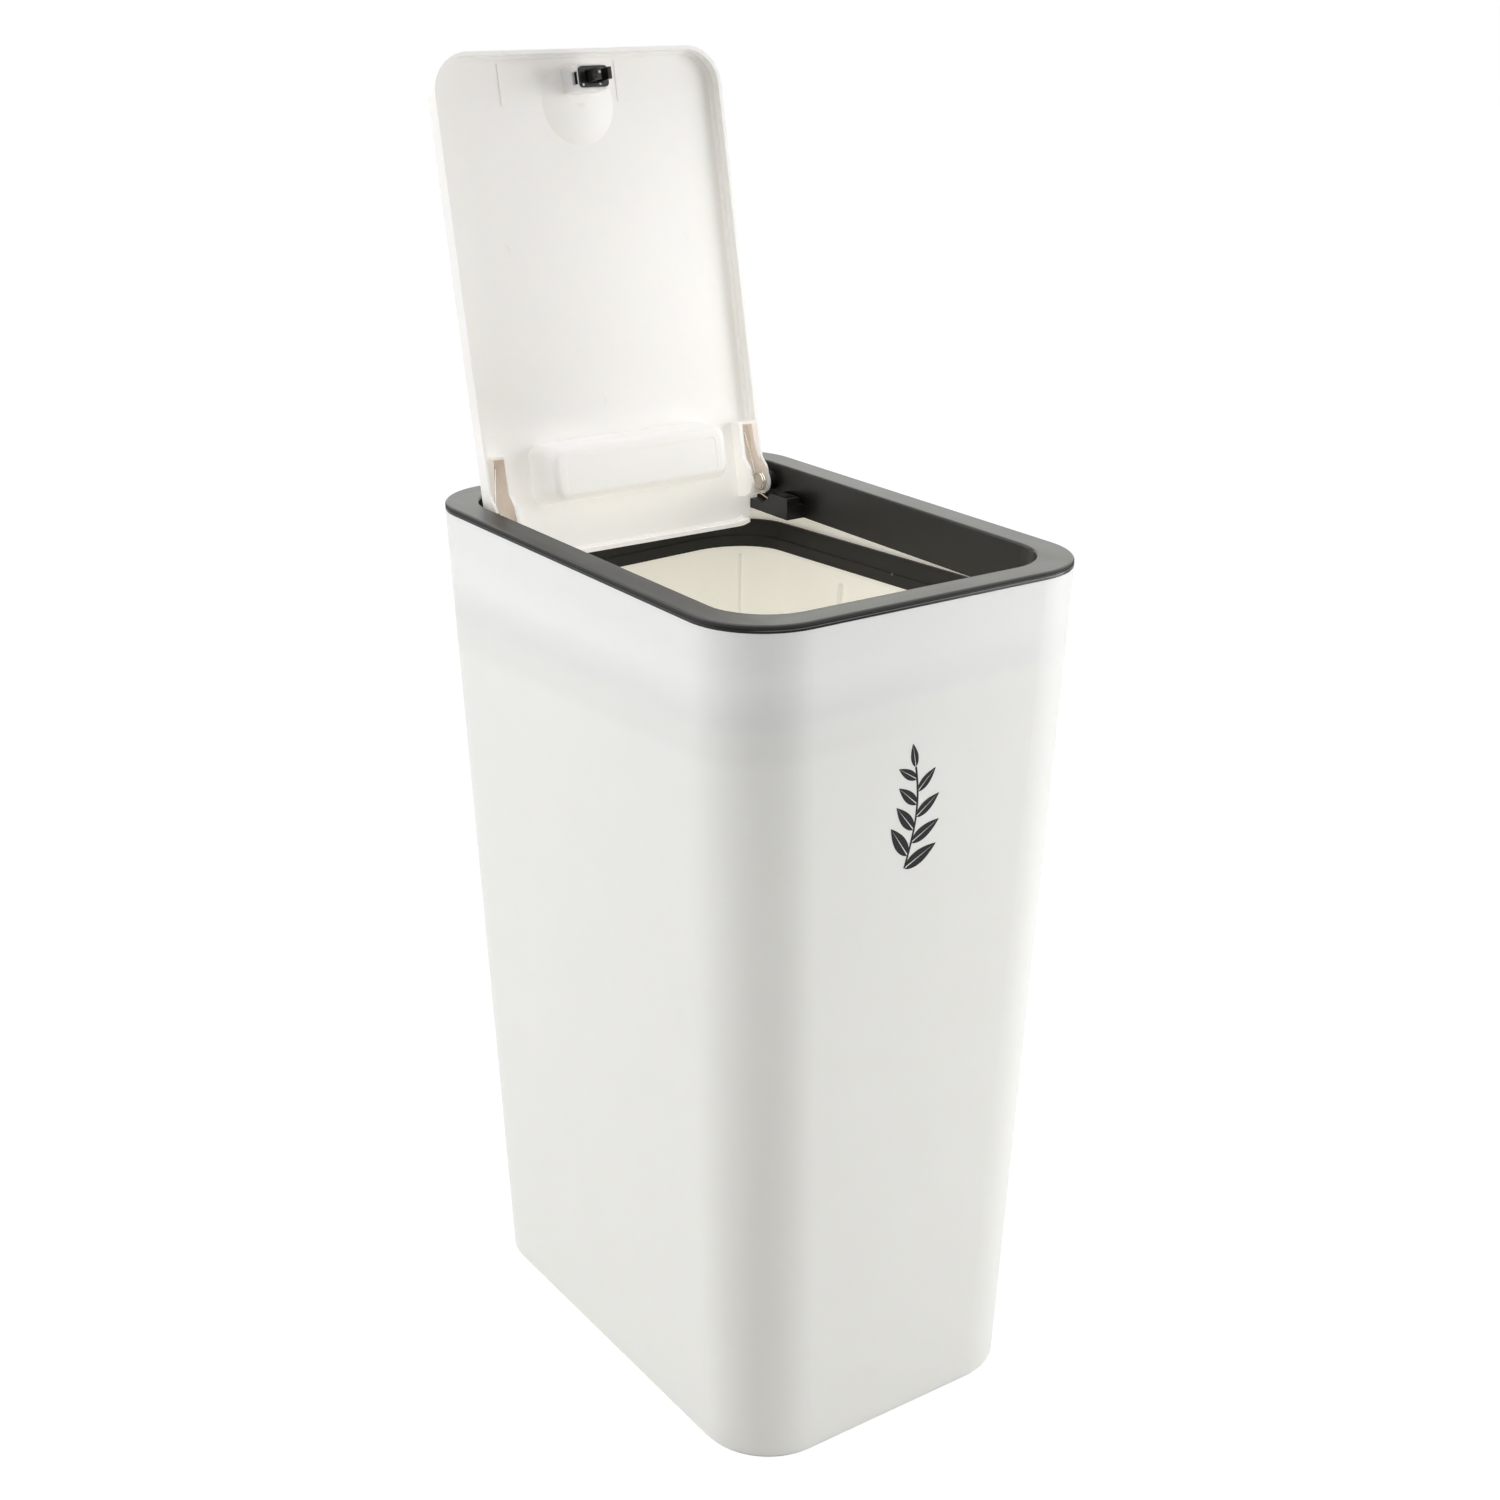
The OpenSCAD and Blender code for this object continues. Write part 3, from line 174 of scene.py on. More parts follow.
class BinStage(bpy.types.PropertyGroup):
    """Camera and lights"""
    lens: bpy.props.FloatProperty(
        name="Lens", description="Focal length", unit="CAMERA", default=50.958)
    camera: bpy.props.FloatVectorProperty(
        name="Camera", description="Where the camera stands", subtype="TRANSLATION",
        default=(-0.428914, -0.621847, 0.529354))
    room_light: bpy.props.FloatProperty(
        name="Room light", description="Strength of the light from all round", min=0, default=0.42)
    sheen_light: bpy.props.FloatProperty(
        name="Sheen light", description="Brightness of the room as glossy faces mirror it", min=0,
        default=1.8)
    key_power: bpy.props.FloatProperty(
        name="Key light", description="Power on which the lamps' shares are based", unit="POWER",
        default=10.0)
    floor_size: bpy.props.FloatProperty(
        name="Floor", description="Size of the floor", unit="LENGTH", default=12.0)


# ---------- node trees ----------

def feed(tree, target, value):
    """Links a socket to another one, or else sets its value"""
    source = getattr(value, "socket", value)
    if isinstance(source, bpy.types.NodeSocket):
        tree.links.new(source, target)
    else:
        target.default_value = source


def add_node(tree, kind, settings=None, sockets=None):
    """Adds a node with its settings made and its inputs fed"""
    made = tree.nodes.new(kind)
    for key, value in (settings or {}).items():
        setattr(made, key, value)
    for key, value in (sockets or {}).items():
        feed(tree, made.inputs[key], value)
    return made


# ---------- shaders ----------

GRAIN_DEPTH = 0.00006
# how deep each colour travels inside the white plastics, as a share of their depth
MILKY_TINT = (1.0, 0.86, 0.7)


class Num:
    """A number in a shader tree; arithmetic on it adds Math nodes"""

    def __init__(self, finish, socket):
        self.finish = finish
        self.socket = socket

    def __add__(self, other):
        return self.finish.math("ADD", self, other)

    def __radd__(self, other):
        return self.finish.math("ADD", other, self)

    def __sub__(self, other):
        return self.finish.math("SUBTRACT", self, other)

    def __rsub__(self, other):
        return self.finish.math("SUBTRACT", other, self)

    def __mul__(self, other):
        return self.finish.math("MULTIPLY", self, other)

    def __rmul__(self, other):
        return self.finish.math("MULTIPLY", other, self)


class Finish:
    """A material in the making, patterned on Object coordinates in metres"""

    def __init__(self, name, roughness, metallic=0.0, specular=0.5):
        self.material = bpy.data.materials.new(name)
        self.material.use_nodes = True
        self.tree = self.material.node_tree
        self.tree.nodes.clear()
        self.shader = self.node("ShaderNodeBsdfPrincipled", {}, {
            "Roughness": roughness, "Metallic": metallic, "Specular IOR Level": specular})
        self.output = self.node("ShaderNodeOutputMaterial", {}, {"Surface": self.shader.outputs["BSDF"]})
        self.place = self.node("ShaderNodeTexCoord").outputs["Object"]
        parts = self.node("ShaderNodeSeparateXYZ", {}, {"Vector": self.place})
        self.x, self.y, self.z = (Num(self, parts.outputs[i]) for i in range(3))

    def node(self, kind, settings=None, sockets=None):
        return add_node(self.tree, kind, settings, sockets)

    def feed(self, target, value):
        feed(self.tree, target, value)

    def math(self, operation, a, b=0.0):
        made = self.node("ShaderNodeMath", {"operation": operation}, {0: a, 1: b})
        return Num(self, made.outputs[0])

    def between(self, value, low, high):
        """0 below low, 1 above high, smooth between"""
        made = self.node("ShaderNodeMapRange", {"interpolation_type": "SMOOTHSTEP"},
                         {"Value": value, "From Min": low, "From Max": high})
        return Num(self, made.outputs["Result"])

    def ramp(self, value, span):
        """0 below and 1 above a span given in mm"""
        return self.between(value, span[0] * MM, span[1] * MM)

    def window(self, value, rise, fall):
        """1 between two spans given in mm, 0 outside them"""
        return self.ramp(value, rise) * (1 - self.ramp(value, fall))

    def noise(self, size, detail=2.0, stretch=(1, 1, 1)):
        """Noise whose blots are about size metres across"""
        place = self.place
        if stretch != (1, 1, 1):
            place = self.node("ShaderNodeMapping", {}, {"Vector": place, "Scale": stretch}).outputs[0]
        made = self.node("ShaderNodeTexNoise", {}, {
            "Vector": place, "Scale": 1 / size, "Detail": detail})
        return Num(self, made.outputs[0])

    def mix(self, factor, a, b):
        made = self.node("ShaderNodeMix", {"data_type": "RGBA"}, {0: factor, 6: a, 7: b})
        return made.outputs[2]

    def spot(self, place, radius):
        """1 within radius of a place given in metres, 0 beyond it"""
        offset = self.node("ShaderNodeVectorMath", {"operation": "DISTANCE"}, {0: self.place, 1: place})
        away = Num(self, offset.outputs["Value"])
        return 1 - self.between(away, radius * 0.8, radius * 1.1)

    def colour(self, value):
        self.feed(self.shader.inputs["Base Color"], value)

    def rough(self, value):
        self.feed(self.shader.inputs["Roughness"], value)

    def bump(self, height, depth, strength=1.0):
        """Adds relief, on top of any that is there already"""
        target = self.shader.inputs["Normal"]
        under = {"Normal": target.links[0].from_socket} if target.links else {}
        made = self.node("ShaderNodeBump", {}, {
            "Height": height, "Distance": depth, "Strength": strength, **under})
        self.feed(target, made.outputs[0])


def outward(finish, half_x, half_y, r):
    """Distance out from the centres of a rounded rectangle's corners: r at its outline"""
    x, y = (finish.math("ABSOLUTE", value) - (half - r)
            for value, half in ((finish.x, half_x), (finish.y, half_y)))
    flat = finish.math("MINIMUM", finish.math("MAXIMUM", x, y), 0.0)
    x, y = (finish.math("MAXIMUM", value, 0.0) for value in (x, y))
    return finish.math("SQRT", x * x + y * y) + flat


def rgba(colour, k=1.0):
    return (colour[0] * k, colour[1] * k, colour[2] * k, 1.0)


def clouded(finish, clouds, colour, dark, light):
    """The colour with clouds in it, from dark to light times as bright"""
    return finish.mix(clouds, rgba(colour, dark), rgba(colour, light))


def moulded(name, roughness, grain, specular=0.5, blot=0.0009):
    """Injection-moulded plastic: fine grain on soft waves, and an uneven sheen that it keeps as sheen"""
    finish = Finish(name, roughness, specular=specular)
    finish.sheen = finish.noise(0.02, 4.0) * 0.1 + (roughness - 0.05)
    finish.rough(finish.sheen)
    finish.bump(finish.noise(blot, 3.0) + finish.noise(0.012, 2.0) * 1.5, GRAIN_DEPTH, grain)
    return finish


def milky(finish, weight, depth):
    """Lets light pass through thin white walls, a little warmer inside"""
    inputs = finish.shader.inputs
    inputs["Subsurface Weight"].default_value = weight
    inputs["Subsurface Radius"].default_value = MILKY_TINT
    inputs["Subsurface Scale"].default_value = depth


def glow(finish, share, strength, tint):
    """Paints light as emission of that strength and tint where share is above 0"""
    finish.shader.inputs["Emission Strength"].default_value = 1.0
    lit = finish.mix(share, (0, 0, 0, 1), rgba(tint, strength))
    finish.feed(finish.shader.inputs["Emission Color"], lit)


def on_lid(x, up, deep):
    """A place in metres from mm across, up and out of the open lid"""
    a = math.radians(OPEN_ANGLE)
    y = -up * math.cos(a) + deep * math.sin(a)
    z = up * math.sin(a) + deep * math.cos(a)
    return (x * MM, (AXIS_Y + y) * MM, (AXIS_Z + z) * MM)


def lid_reach(finish):
    """Distances up the open lid from its hinge, and out of its inner face"""
    a = math.radians(OPEN_ANGLE)
    y, z = finish.y - AXIS_Y * MM, finish.z - AXIS_Z * MM
    return y * -math.cos(a) + z * math.sin(a), y * math.sin(a) + z * math.cos(a)


def paint(node, material):
    target = frame["nodes"][node]
    target.data.materials.clear()
    target.data.materials.append(material)


# ---------- meshes ----------

class Recipe:
    """A Geometry Nodes tree in the making, with one geometry in and one out"""

    def __init__(self, name, **sizes):
        self.tree = bpy.data.node_groups.new(name, "GeometryNodeTree")
        face = self.tree.interface
        face.new_socket("Geometry", in_out="INPUT", socket_type="NodeSocketGeometry")
        face.new_socket("Geometry", in_out="OUTPUT", socket_type="NodeSocketGeometry")
        self.names = {}
        for key, value in sizes.items():
            kind = "NodeSocketInt" if isinstance(value, int) else "NodeSocketFloat"
            self.names[key] = face.new_socket(key, in_out="INPUT", socket_type=kind).identifier
        self.sizes = sizes
        self.start = self.tree.nodes.new("NodeGroupInput")
        self.end = self.tree.nodes.new("NodeGroupOutput")

    def node(self, kind, settings=None, sockets=None):
        return add_node(self.tree, kind, settings, sockets)

    def size(self, key):
        return self.start.outputs[key]

    def math(self, operation, a, b=0.0):
        return self.node("ShaderNodeMath", {"operation": operation}, {0: a, 1: b}).outputs[0]

    def finish(self, geometry, material):
        whole = self.node("GeometryNodeRealizeInstances", {}, {0: geometry}).outputs[0]
        painted = self.node("GeometryNodeSetMaterial", {}, {0: whole, "Material": material}).outputs[0]
        self.tree.links.new(painted, self.end.inputs[0])

    def apply(self, name, mesh):
        """Runs the tree on a mesh and returns the result as a plain piece"""
        source = bpy.data.objects.new(name + "_source", mesh)
        bpy.context.scene.collection.objects.link(source)
        modifier = source.modifiers.new("recipe", "NODES")
        modifier.node_group = self.tree
        for key, value in self.sizes.items():
            modifier[self.names[key]] = value
        graph = bpy.context.evaluated_depsgraph_get()
        made = bpy.data.meshes.new_from_object(source.evaluated_get(graph), depsgraph=graph)
        made.name = name
        bpy.data.objects.remove(source)
        piece = bpy.data.objects.new(name, made)
        bpy.context.scene.collection.objects.link(piece)
        return piece


def path_mesh(name, points):
    """An open chain of edges through points given in mm"""
    mesh = bpy.data.meshes.new(name)
    edges = [(i, i + 1) for i in range(len(points) - 1)]
    mesh.from_pydata([Vector(p) * MM for p in points], edges, [])
    return mesh


def wire_recipe(name, diameter, bend, material):
    """Round wire along a chain of edges, its corners bent to a small radius"""
    recipe = Recipe(name, Diameter=diameter, Bend=bend)
    path = recipe.node("GeometryNodeMeshToCurve", {}, {0: recipe.start.outputs[0]}).outputs[0]
    bent = recipe.node("GeometryNodeFilletCurve", {"mode": "POLY"}, {
        0: path, "Radius": recipe.size("Bend"), "Limit Radius": True, "Count": 4}).outputs[0]
    outline = recipe.node("GeometryNodeCurvePrimitiveCircle", {}, {
        "Resolution": 14, "Radius": recipe.math("MULTIPLY", recipe.size("Diameter"), 0.5)}).outputs[0]
    tube = recipe.node("GeometryNodeCurveToMesh", {}, {
        0: bent, 1: outline, "Fill Caps": True}).outputs[0]
    smooth = recipe.node("GeometryNodeSetShadeSmooth", {}, {0: tube}).outputs[0]
    recipe.finish(smooth, material)
    return recipe


# ---------- the pieces ----------

class BIN_OT_tub(bpy.types.Operator):
    """Gives the tub its satin white plastic, with a painted shade band where the dark frame shows
    through, painted light above it, a painted darker corner and painted light inside
    """
    bl_idname = "bin.tub"
    bl_label = "Tub"

    # spans in mm over which each painted shade or painted light sets in or fades out
    band_low, band_top, band_right = (276, 284), (290, 302), (-45, 20)
    above_ring = (282, 314)
    foot_left, foot_front, foot_up = (42, 60), (70, 92), (20, 240)
    floor_top = (0.9, 1.8)
    # how far in mm the inner faces and the ribs lie in from the outline
    wall_in, rib_in = (1.1, 0.5), (2.4, 1.9)
    # the painted shade band's colour, and the tint of the painted light inside
    shadow = (0.25, 0.26, 0.3, 1)
    warm = (1, 0.94, 0.8)

    def inside(self, finish):
        """1 on the tub's inner faces and 0 on its outer ones, then 1 on its ribs and floor alone"""
        half = [finish.z * ((rim - base) / 2 / TUB_H) + base / 2 * MM
                for base, rim in ((TUB_BASE_W, TUB_RIM_W), (TUB_BASE_D, TUB_RIM_D))]
        out = outward(finish, *half, TUB_CORNER_R * MM)
        walls, deeper = (1 - finish.ramp(out, [TUB_CORNER_R - depth for depth in span])
                         for span in (self.wall_in, self.rib_in))
        return walls * finish.ramp(finish.z, self.floor_top), deeper

    def execute(self, context):
        colours, finish_set = context.scene.bin_colours, context.scene.bin_finish
        finish = moulded("tub_plastic", finish_set.tub_roughness, finish_set.grain)
        clouds = finish.noise(0.03, 3.0)
        # painted shade: a tilted band, darker where the dark frame shows through the wall, less so to
        # the right
        tilt = finish.z - finish.x * RING_RISE_X + finish.y * RING_RISE_Y
        band = (finish.window(tilt, self.band_low, self.band_top)
                * (1 - finish.ramp(finish.x, self.band_right) * 0.8))
        shade = band * (clouds * 0.5 + 0.75) * finish_set.show_through
        # painted light: the wall is made a little brighter above the ring
        plain = clouded(finish, clouds, colours.tub, 0.98, 1.01)
        plain = finish.mix(finish.ramp(finish.z, self.above_ring), plain, rgba(colours.tub, 1.08))
        # and painted shade: a little darker down the corner that faces the viewer
        foot = (finish.ramp(finish.x * -1, self.foot_left) * finish.ramp(finish.y * -1, self.foot_front)
                * (1 - finish.ramp(finish.z, self.foot_up)))
        plain = finish.mix(foot, plain, rgba(colours.tub, 0.88))
        finish.colour(finish.mix(shade, plain, self.shadow))
        milky(finish, 0.35, finish_set.depth)
        inner, deeper = self.inside(finish)
        # painted light: emission inside the tub for light that comes through its walls, less of it on
        # the ribs and floor
        glow(finish, inner * (1 - deeper * 0.4), finish_set.tub_glow, self.warm)
        paint("outer_body", finish.material)
        return {"FINISHED"}


class BIN_OT_frame(bpy.types.Operator):
    """Gives the top frame its near-black plastic, streaked with painted sheen on its top, darkened by
    painted shade and smoother down its side
    """
    bl_idname = "bin.frame"
    bl_label = "Top frame"

    # where the short sides begin, and the rim's outer face, in mm across and in from the outline
    short_side, outer_face = (60, 66), (1.2, 0.9)
    # spans in mm above the tub's rim
    flat_top, bead_top, rounding = (2.3, 2.6), (2.1, 2.4), (1.3, 1.5)
    # where the painted highlight line lies under the groove, and its colour
    lip_low, lip_top, lip_rear = (0.6, 0.8), (1.0, 1.1), (-106, -100)
    lip_colour = (0.13, 0.13, 0.125, 1)
    # the streaks' size in metres, their noise's scale lengthwise, and the noise levels they lie between
    streak, drawn_out, streak_edges = 0.008, 0.1, (0.36, 0.64)

    def execute(self, context):
        colours, finish_set = context.scene.bin_colours, context.scene.bin_finish
        finish = moulded("frame_plastic", finish_set.frame_roughness, finish_set.grain * 2, 0.42)
        # faint streaks that run along each side
        short = finish.ramp(finish.math("ABSOLUTE", finish.x), self.short_side)
        drawn = (finish.noise(self.streak, 3.0, (self.drawn_out, 1, 1)) * (1 - short)
                 + finish.noise(self.streak, 3.0, (1, self.drawn_out, 1)) * short)
        streaks = finish.between(drawn, *self.streak_edges)
        # painted sheen lightens the flat top in streaks; painted shade makes the bead near black from
        # its rounding down, with a painted highlight line under its groove in front
        height = finish.z - TUB_H * MM
        top = clouded(finish, streaks * finish.ramp(height, self.flat_top), colours.frame, 0.5, 2.6)
        out = outward(finish, TUB_RIM_W / 2 * MM, TUB_RIM_D / 2 * MM, TUB_CORNER_R * MM)
        edge = finish.ramp(out, [TUB_CORNER_R - depth for depth in self.outer_face])
        side = edge * (1 - finish.ramp(height, self.bead_top))
        turned = side * finish.ramp(height, self.rounding)
        lip = (finish.window(height, self.lip_low, self.lip_top)
               * (1 - finish.ramp(finish.y, self.lip_rear)))
        # painted shade on the side, with the painted highlight line
        below = finish.mix(lip, rgba(colours.frame, 0.3), self.lip_colour)
        finish.colour(finish.mix(side, top, below))
        finish.rough(finish.sheen * (1 - side * 0.5) + turned * 0.6)
        paint("top_frame", finish.material)
        return {"FINISHED"}


class BIN_OT_ring(bpy.types.Operator):
    """Gives the bag ring its plastic, with a painted glint on a small pip"""
    bl_idname = "bin.ring"
    bl_label = "Bag ring"

    # a small raised pip on the band's inner face, in metres, lighter in colour as a painted glint
    pip = (0.0729, 0.0046, 0.2985)
    pip_colour = (0.16, 0.16, 0.15, 1)

    def execute(self, context):
        colours, finish_set = context.scene.bin_colours, context.scene.bin_finish
        finish = moulded("ring_plastic", finish_set.ring_roughness, finish_set.grain, 0.35)
        pip = finish.spot(self.pip, 0.7 * MM)
        plain = clouded(finish, finish.noise(0.05, 3.0), colours.ring, 0.9, 1.05)
        finish.colour(finish.mix(pip, plain, self.pip_colour))
        finish.bump(pip, 0.4 * MM)
        paint("bag_ring", finish.material)
        return {"FINISHED"}


class BIN_OT_lid(bpy.types.Operator):
    """Gives the lid and the scent box their warm white plastic, with painted shade in the hinge boxes
    and painted light as emission
    """
    bl_idname = "bin.lid"
    bl_label = "Lid"

    # spans in mm up the lid and out of its inner face, over which its painted light fades
    low_up, plate_low, plate_top, plate_right = (2, 50), (6, 30), (80, 190), (-70, 60)
    outer_face, reach = (5.5, 6.5), (-9, 4)
    box_edge, box_front_edge, box_rear_edge = 0.3, 1.4, 1.0
    # painted shade in the hinge boxes, and the tints of the painted light
    box_colour = (0.88, 0.78, 0.69, 1)
    lid_tint, box_tint = (1, 0.97, 0.92), (1, 0.98, 0.95)

    def white(self, name, colours, finish_set):
        """The white plastic, and its plain colour with clouds in it"""
        finish = moulded(name, finish_set.lid_roughness, finish_set.grain)
        milky(finish, 0.5, finish_set.depth * 0.6)
        return finish, clouded(finish, finish.noise(0.05, 3.0), colours.lid, 0.97, 1.015)

    def hinge_boxes(self, finish, up, deep):
        """1 inside the two narrow hinge boxes, 0 elsewhere"""
        x, edge = finish.math("ABSOLUTE", finish.x), self.box_edge
        return (finish.window(x, (INNER_CHEEK_X - edge, INNER_CHEEK_X), (CHEEK_X, CHEEK_X + edge))
                * finish.window(up, (-HINGE_BOX_REAR, self.box_rear_edge - HINGE_BOX_REAR),
                                (HINGE_BOX_FRONT - self.box_front_edge, HINGE_BOX_FRONT))
                * (1 - finish.ramp(deep, (PLATE_Z - 0.1, PLATE_Z + 0.3))))

    def execute(self, context):
        colours, finish_set = context.scene.bin_colours, context.scene.bin_finish
        finish, plain = self.white("lid_plastic", colours, finish_set)
        up, deep = lid_reach(finish)
        # painted shade: the hinge boxes are coloured a warm grey inside
        box = self.hinge_boxes(finish, up, deep)
        finish.colour(finish.mix(box * 0.75, plain, self.box_colour))
        # painted light: emission for light that reaches the lid's lower part from inside and comes
        # through its plate, most at the right, with less of it in the hinge boxes
        inner = (1 - finish.ramp(deep, self.outer_face)) * (finish.ramp(deep, self.reach) * 0.4 + 0.6)
        low = (1 - finish.ramp(up, self.low_up)) * inner * (1 - box * 0.5)
        through = (finish.ramp(finish.x, self.plate_right)
                   * finish.window(up, self.plate_low, self.plate_top) * 0.6)
        lit = finish.math("MAXIMUM", low, through * inner)
        glow(finish, lit, finish_set.lid_glow, self.lid_tint)
        paint("lid", finish.material)

        # painted light: the scent box has emission all over, standing in for light through its thin
        # walls
        finish, plain = self.white("scent_box_plastic", colours, finish_set)
        finish.colour(plain)
        glow(finish, finish.noise(0.03, 2.0) * 0.2 + 0.65, finish_set.lid_glow, self.box_tint)
        for node in ("scent_box", "scent_cover"):
            paint(node, finish.material)
        return {"FINISHED"}


def steel_finish(colours):
    finish = Finish("spring_steel", 0.22, 1.0)
    wear = finish.noise(0.0015, 3.0)
    finish.colour(clouded(finish, wear, colours.steel, 0.85, 1.1))
    finish.rough(wear * 0.14 + 0.15)
    return finish.material


class BIN_OT_hinges(bpy.types.Operator):
    """Gives the hinge pins their steel and winds the two lid springs of round wire"""
    bl_idname = "bin.hinges"
    bl_label = "Hinge pins and lid springs"

    # degrees: the frame leg's slope and the lid leg's rise; mm: how far the lid leg leans to the middle
    frame_slope, lid_rise, lid_lean = 12.7, 2.0, 2.7
    whole_turns, steps = 2, 36
    # mm: gaps to the cheek and the plate, the wire's bends, the frame leg's hooked end, and the
    # length over which the lid leg leaves the coil straight
    side_gap, plate_gap, bend = 0.2, 0.1, 0.5
    hook_back, hook_up = 0.3, 1.7
    straight = 3
    # how much that unused step along the coil climbs per unit across
    climb = 0.2

    def path(self, springs, side):
        """The wire's centre line in mm: frame leg, coil, lid leg"""
        r, pitch, wire, frame_leg, lid_leg = (v / MM for v in (
            springs.coil_radius, springs.pitch, springs.wire, springs.frame_leg, springs.lid_leg))
        start = self.frame_slope - 90
        stop = 90 - OPEN_ANGLE - self.lid_rise
        turn = stop - start + 360 * self.whole_turns
        length = pitch * turn / 360
        outer = CHEEK_X - self.side_gap - wire / 2
        x0 = outer - length if side > 0 else -outer

        def coil(angle, x):
            a = math.radians(angle)
            return Vector((x, AXIS_Y + r * math.cos(a), AXIS_Z + r * math.sin(a)))

        slope, lean = math.radians(self.frame_slope), Vector((-side * self.lid_lean, 0, 0))
        frame_dir = Vector((0, -math.cos(slope), -math.sin(slope)))
        a = math.radians(stop)
        lid_dir = Vector((0, -math.sin(a), math.cos(a)))
        a = math.radians(OPEN_ANGLE)
        press = Vector((0, math.sin(a), math.cos(a)))
        first, last = coil(start, x0), coil(stop, x0 + length)
        leg_end = first + frame_leg * frame_dir
        tip = last + lid_leg * lid_dir + lean
        axis = Vector((0, AXIS_Y, AXIS_Z))
        reach = PLATE_Z - self.plate_gap - (tip - axis).dot(press)
        count = round(turn / 360 * self.steps)
        points = [Vector((leg_end.x, leg_end.y - self.hook_back, SKIRT_Z + self.hook_up)), leg_end,
                  first + 0.5 * frame_leg * frame_dir]
        points += [coil(start + turn * i / count, x0 + length * i / count) for i in range(count + 1)]
        points += [last + self.straight * lid_dir, last + 0.6 * lid_leg * lid_dir + 0.5 * lean,
                   tip, tip + reach * press]
        return points, x0, length

    def execute(self, context):
        springs = context.scene.bin_springs
        steel = steel_finish(context.scene.bin_colours)
        for node in ("hinge_pin_left", "hinge_pin_right"):
            paint(node, steel)
        recipe = wire_recipe("lid_spring_wire", springs.wire, self.bend * MM, steel)
        for side, word in ((1, "right"), (-1, "left")):
            points, x0, length = self.path(springs, side)
            name = "lid_spring_" + word
            piece = recipe.apply(name, path_mesh(name, points))
            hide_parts("torsion_spring_" + word)
            # the coil's start and a step along its axis are worked out, but nothing uses them
            start = Vector((x0, AXIS_Y, AXIS_Z)) * MM
            along = Vector((1, 0, self.climb)) * (length * MM / (1 + self.climb ** 2))
            start + along
            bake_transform(piece)
        return {"FINISHED"}


class BIN_OT_latch(bpy.types.Operator):
    """Gives the push latch its black plastics and winds its spring"""
    bl_idname = "bin.latch"
    bl_label = "Push latch"

    # the latch spring in mm: its ends, radius, turns and place along the lid, then its bends
    low, top, coil, turns, place = -4.95, 3.65, 1.45, 6, 160.7
    bend = 0.1
    steps = 24
    keep = 0.48
    # painted glints and a faint mark, in mm across, up and out of the lid
    light_dots, dot_r = ((-2.45, 161.1, -17.5), (2.4, 157.9, -9.0), (-5.0, 157.8, -9.0)), 0.5
    ring_mark, ring_outer_r, ring_inner_r = (-3.2, 159.6, -15.7), 1.1, 0.75
    dot_colour, ring_colour = (0.6, 0.6, 0.58, 1), (0.2, 0.2, 0.19, 1)

    def plastic(self, colours, finish_set):
        """Black plastic with three painted glints and a faint ring-shaped mark"""
        finish = moulded("latch_plastic", 0.28, finish_set.grain, 0.3, 0.0004)
        dots = sum(finish.spot(on_lid(*place), self.dot_r * MM) for place in self.light_dots)
        centre = on_lid(*self.ring_mark)
        ring = finish.spot(centre, self.ring_outer_r * MM) - finish.spot(centre, self.ring_inner_r * MM)
        plain = clouded(finish, finish.noise(0.004, 3.0), colours.latch, 0.7, 1.5)
        plain = finish.mix(ring * 0.3, plain, self.ring_colour)
        finish.colour(finish.mix(dots, plain, self.dot_colour))
        finish.bump(ring, 0.1 * MM)
        return finish.material

    def execute(self, context):
        black = self.plastic(context.scene.bin_colours, context.scene.bin_finish)
        for part in ("housing", "slider", "jaw_left", "jaw_right", "striker"):
            paint("latch_" + part, black)

        # the latch spring, wound in the lid's own frame and then turned open with it
        wire = context.scene.bin_springs.latch_wire
        low, rise = self.low + wire / MM, self.top - self.low - 2 * wire / MM
        count = self.turns * self.steps
        points = [(self.coil, 0, self.low)]
        for i in range(count + 1):
            a = 2 * math.pi * i / self.steps
            points.append((self.coil * math.cos(a), self.coil * math.sin(a), low + rise * i / count))
        points.append((self.coil, 0, self.top))
        steel = bpy.data.materials["spring_steel"]
        piece = wire_recipe("latch_spring_wire", wire, self.bend * MM, steel).apply(
            "latch_spring_wire", path_mesh("latch_spring_wire", points))
        turn = Matrix.Rotation(-math.radians(OPEN_ANGLE), 4, "X")
        axis = Matrix.Translation(Vector((0, AXIS_Y, AXIS_Z)) * MM)
        piece.data.transform(axis @ turn @ Matrix.Translation((0, -self.place * MM, 0)))
        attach(piece, "lid")
        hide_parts("latch_spring")
        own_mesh(piece)
        return {"FINISHED"}


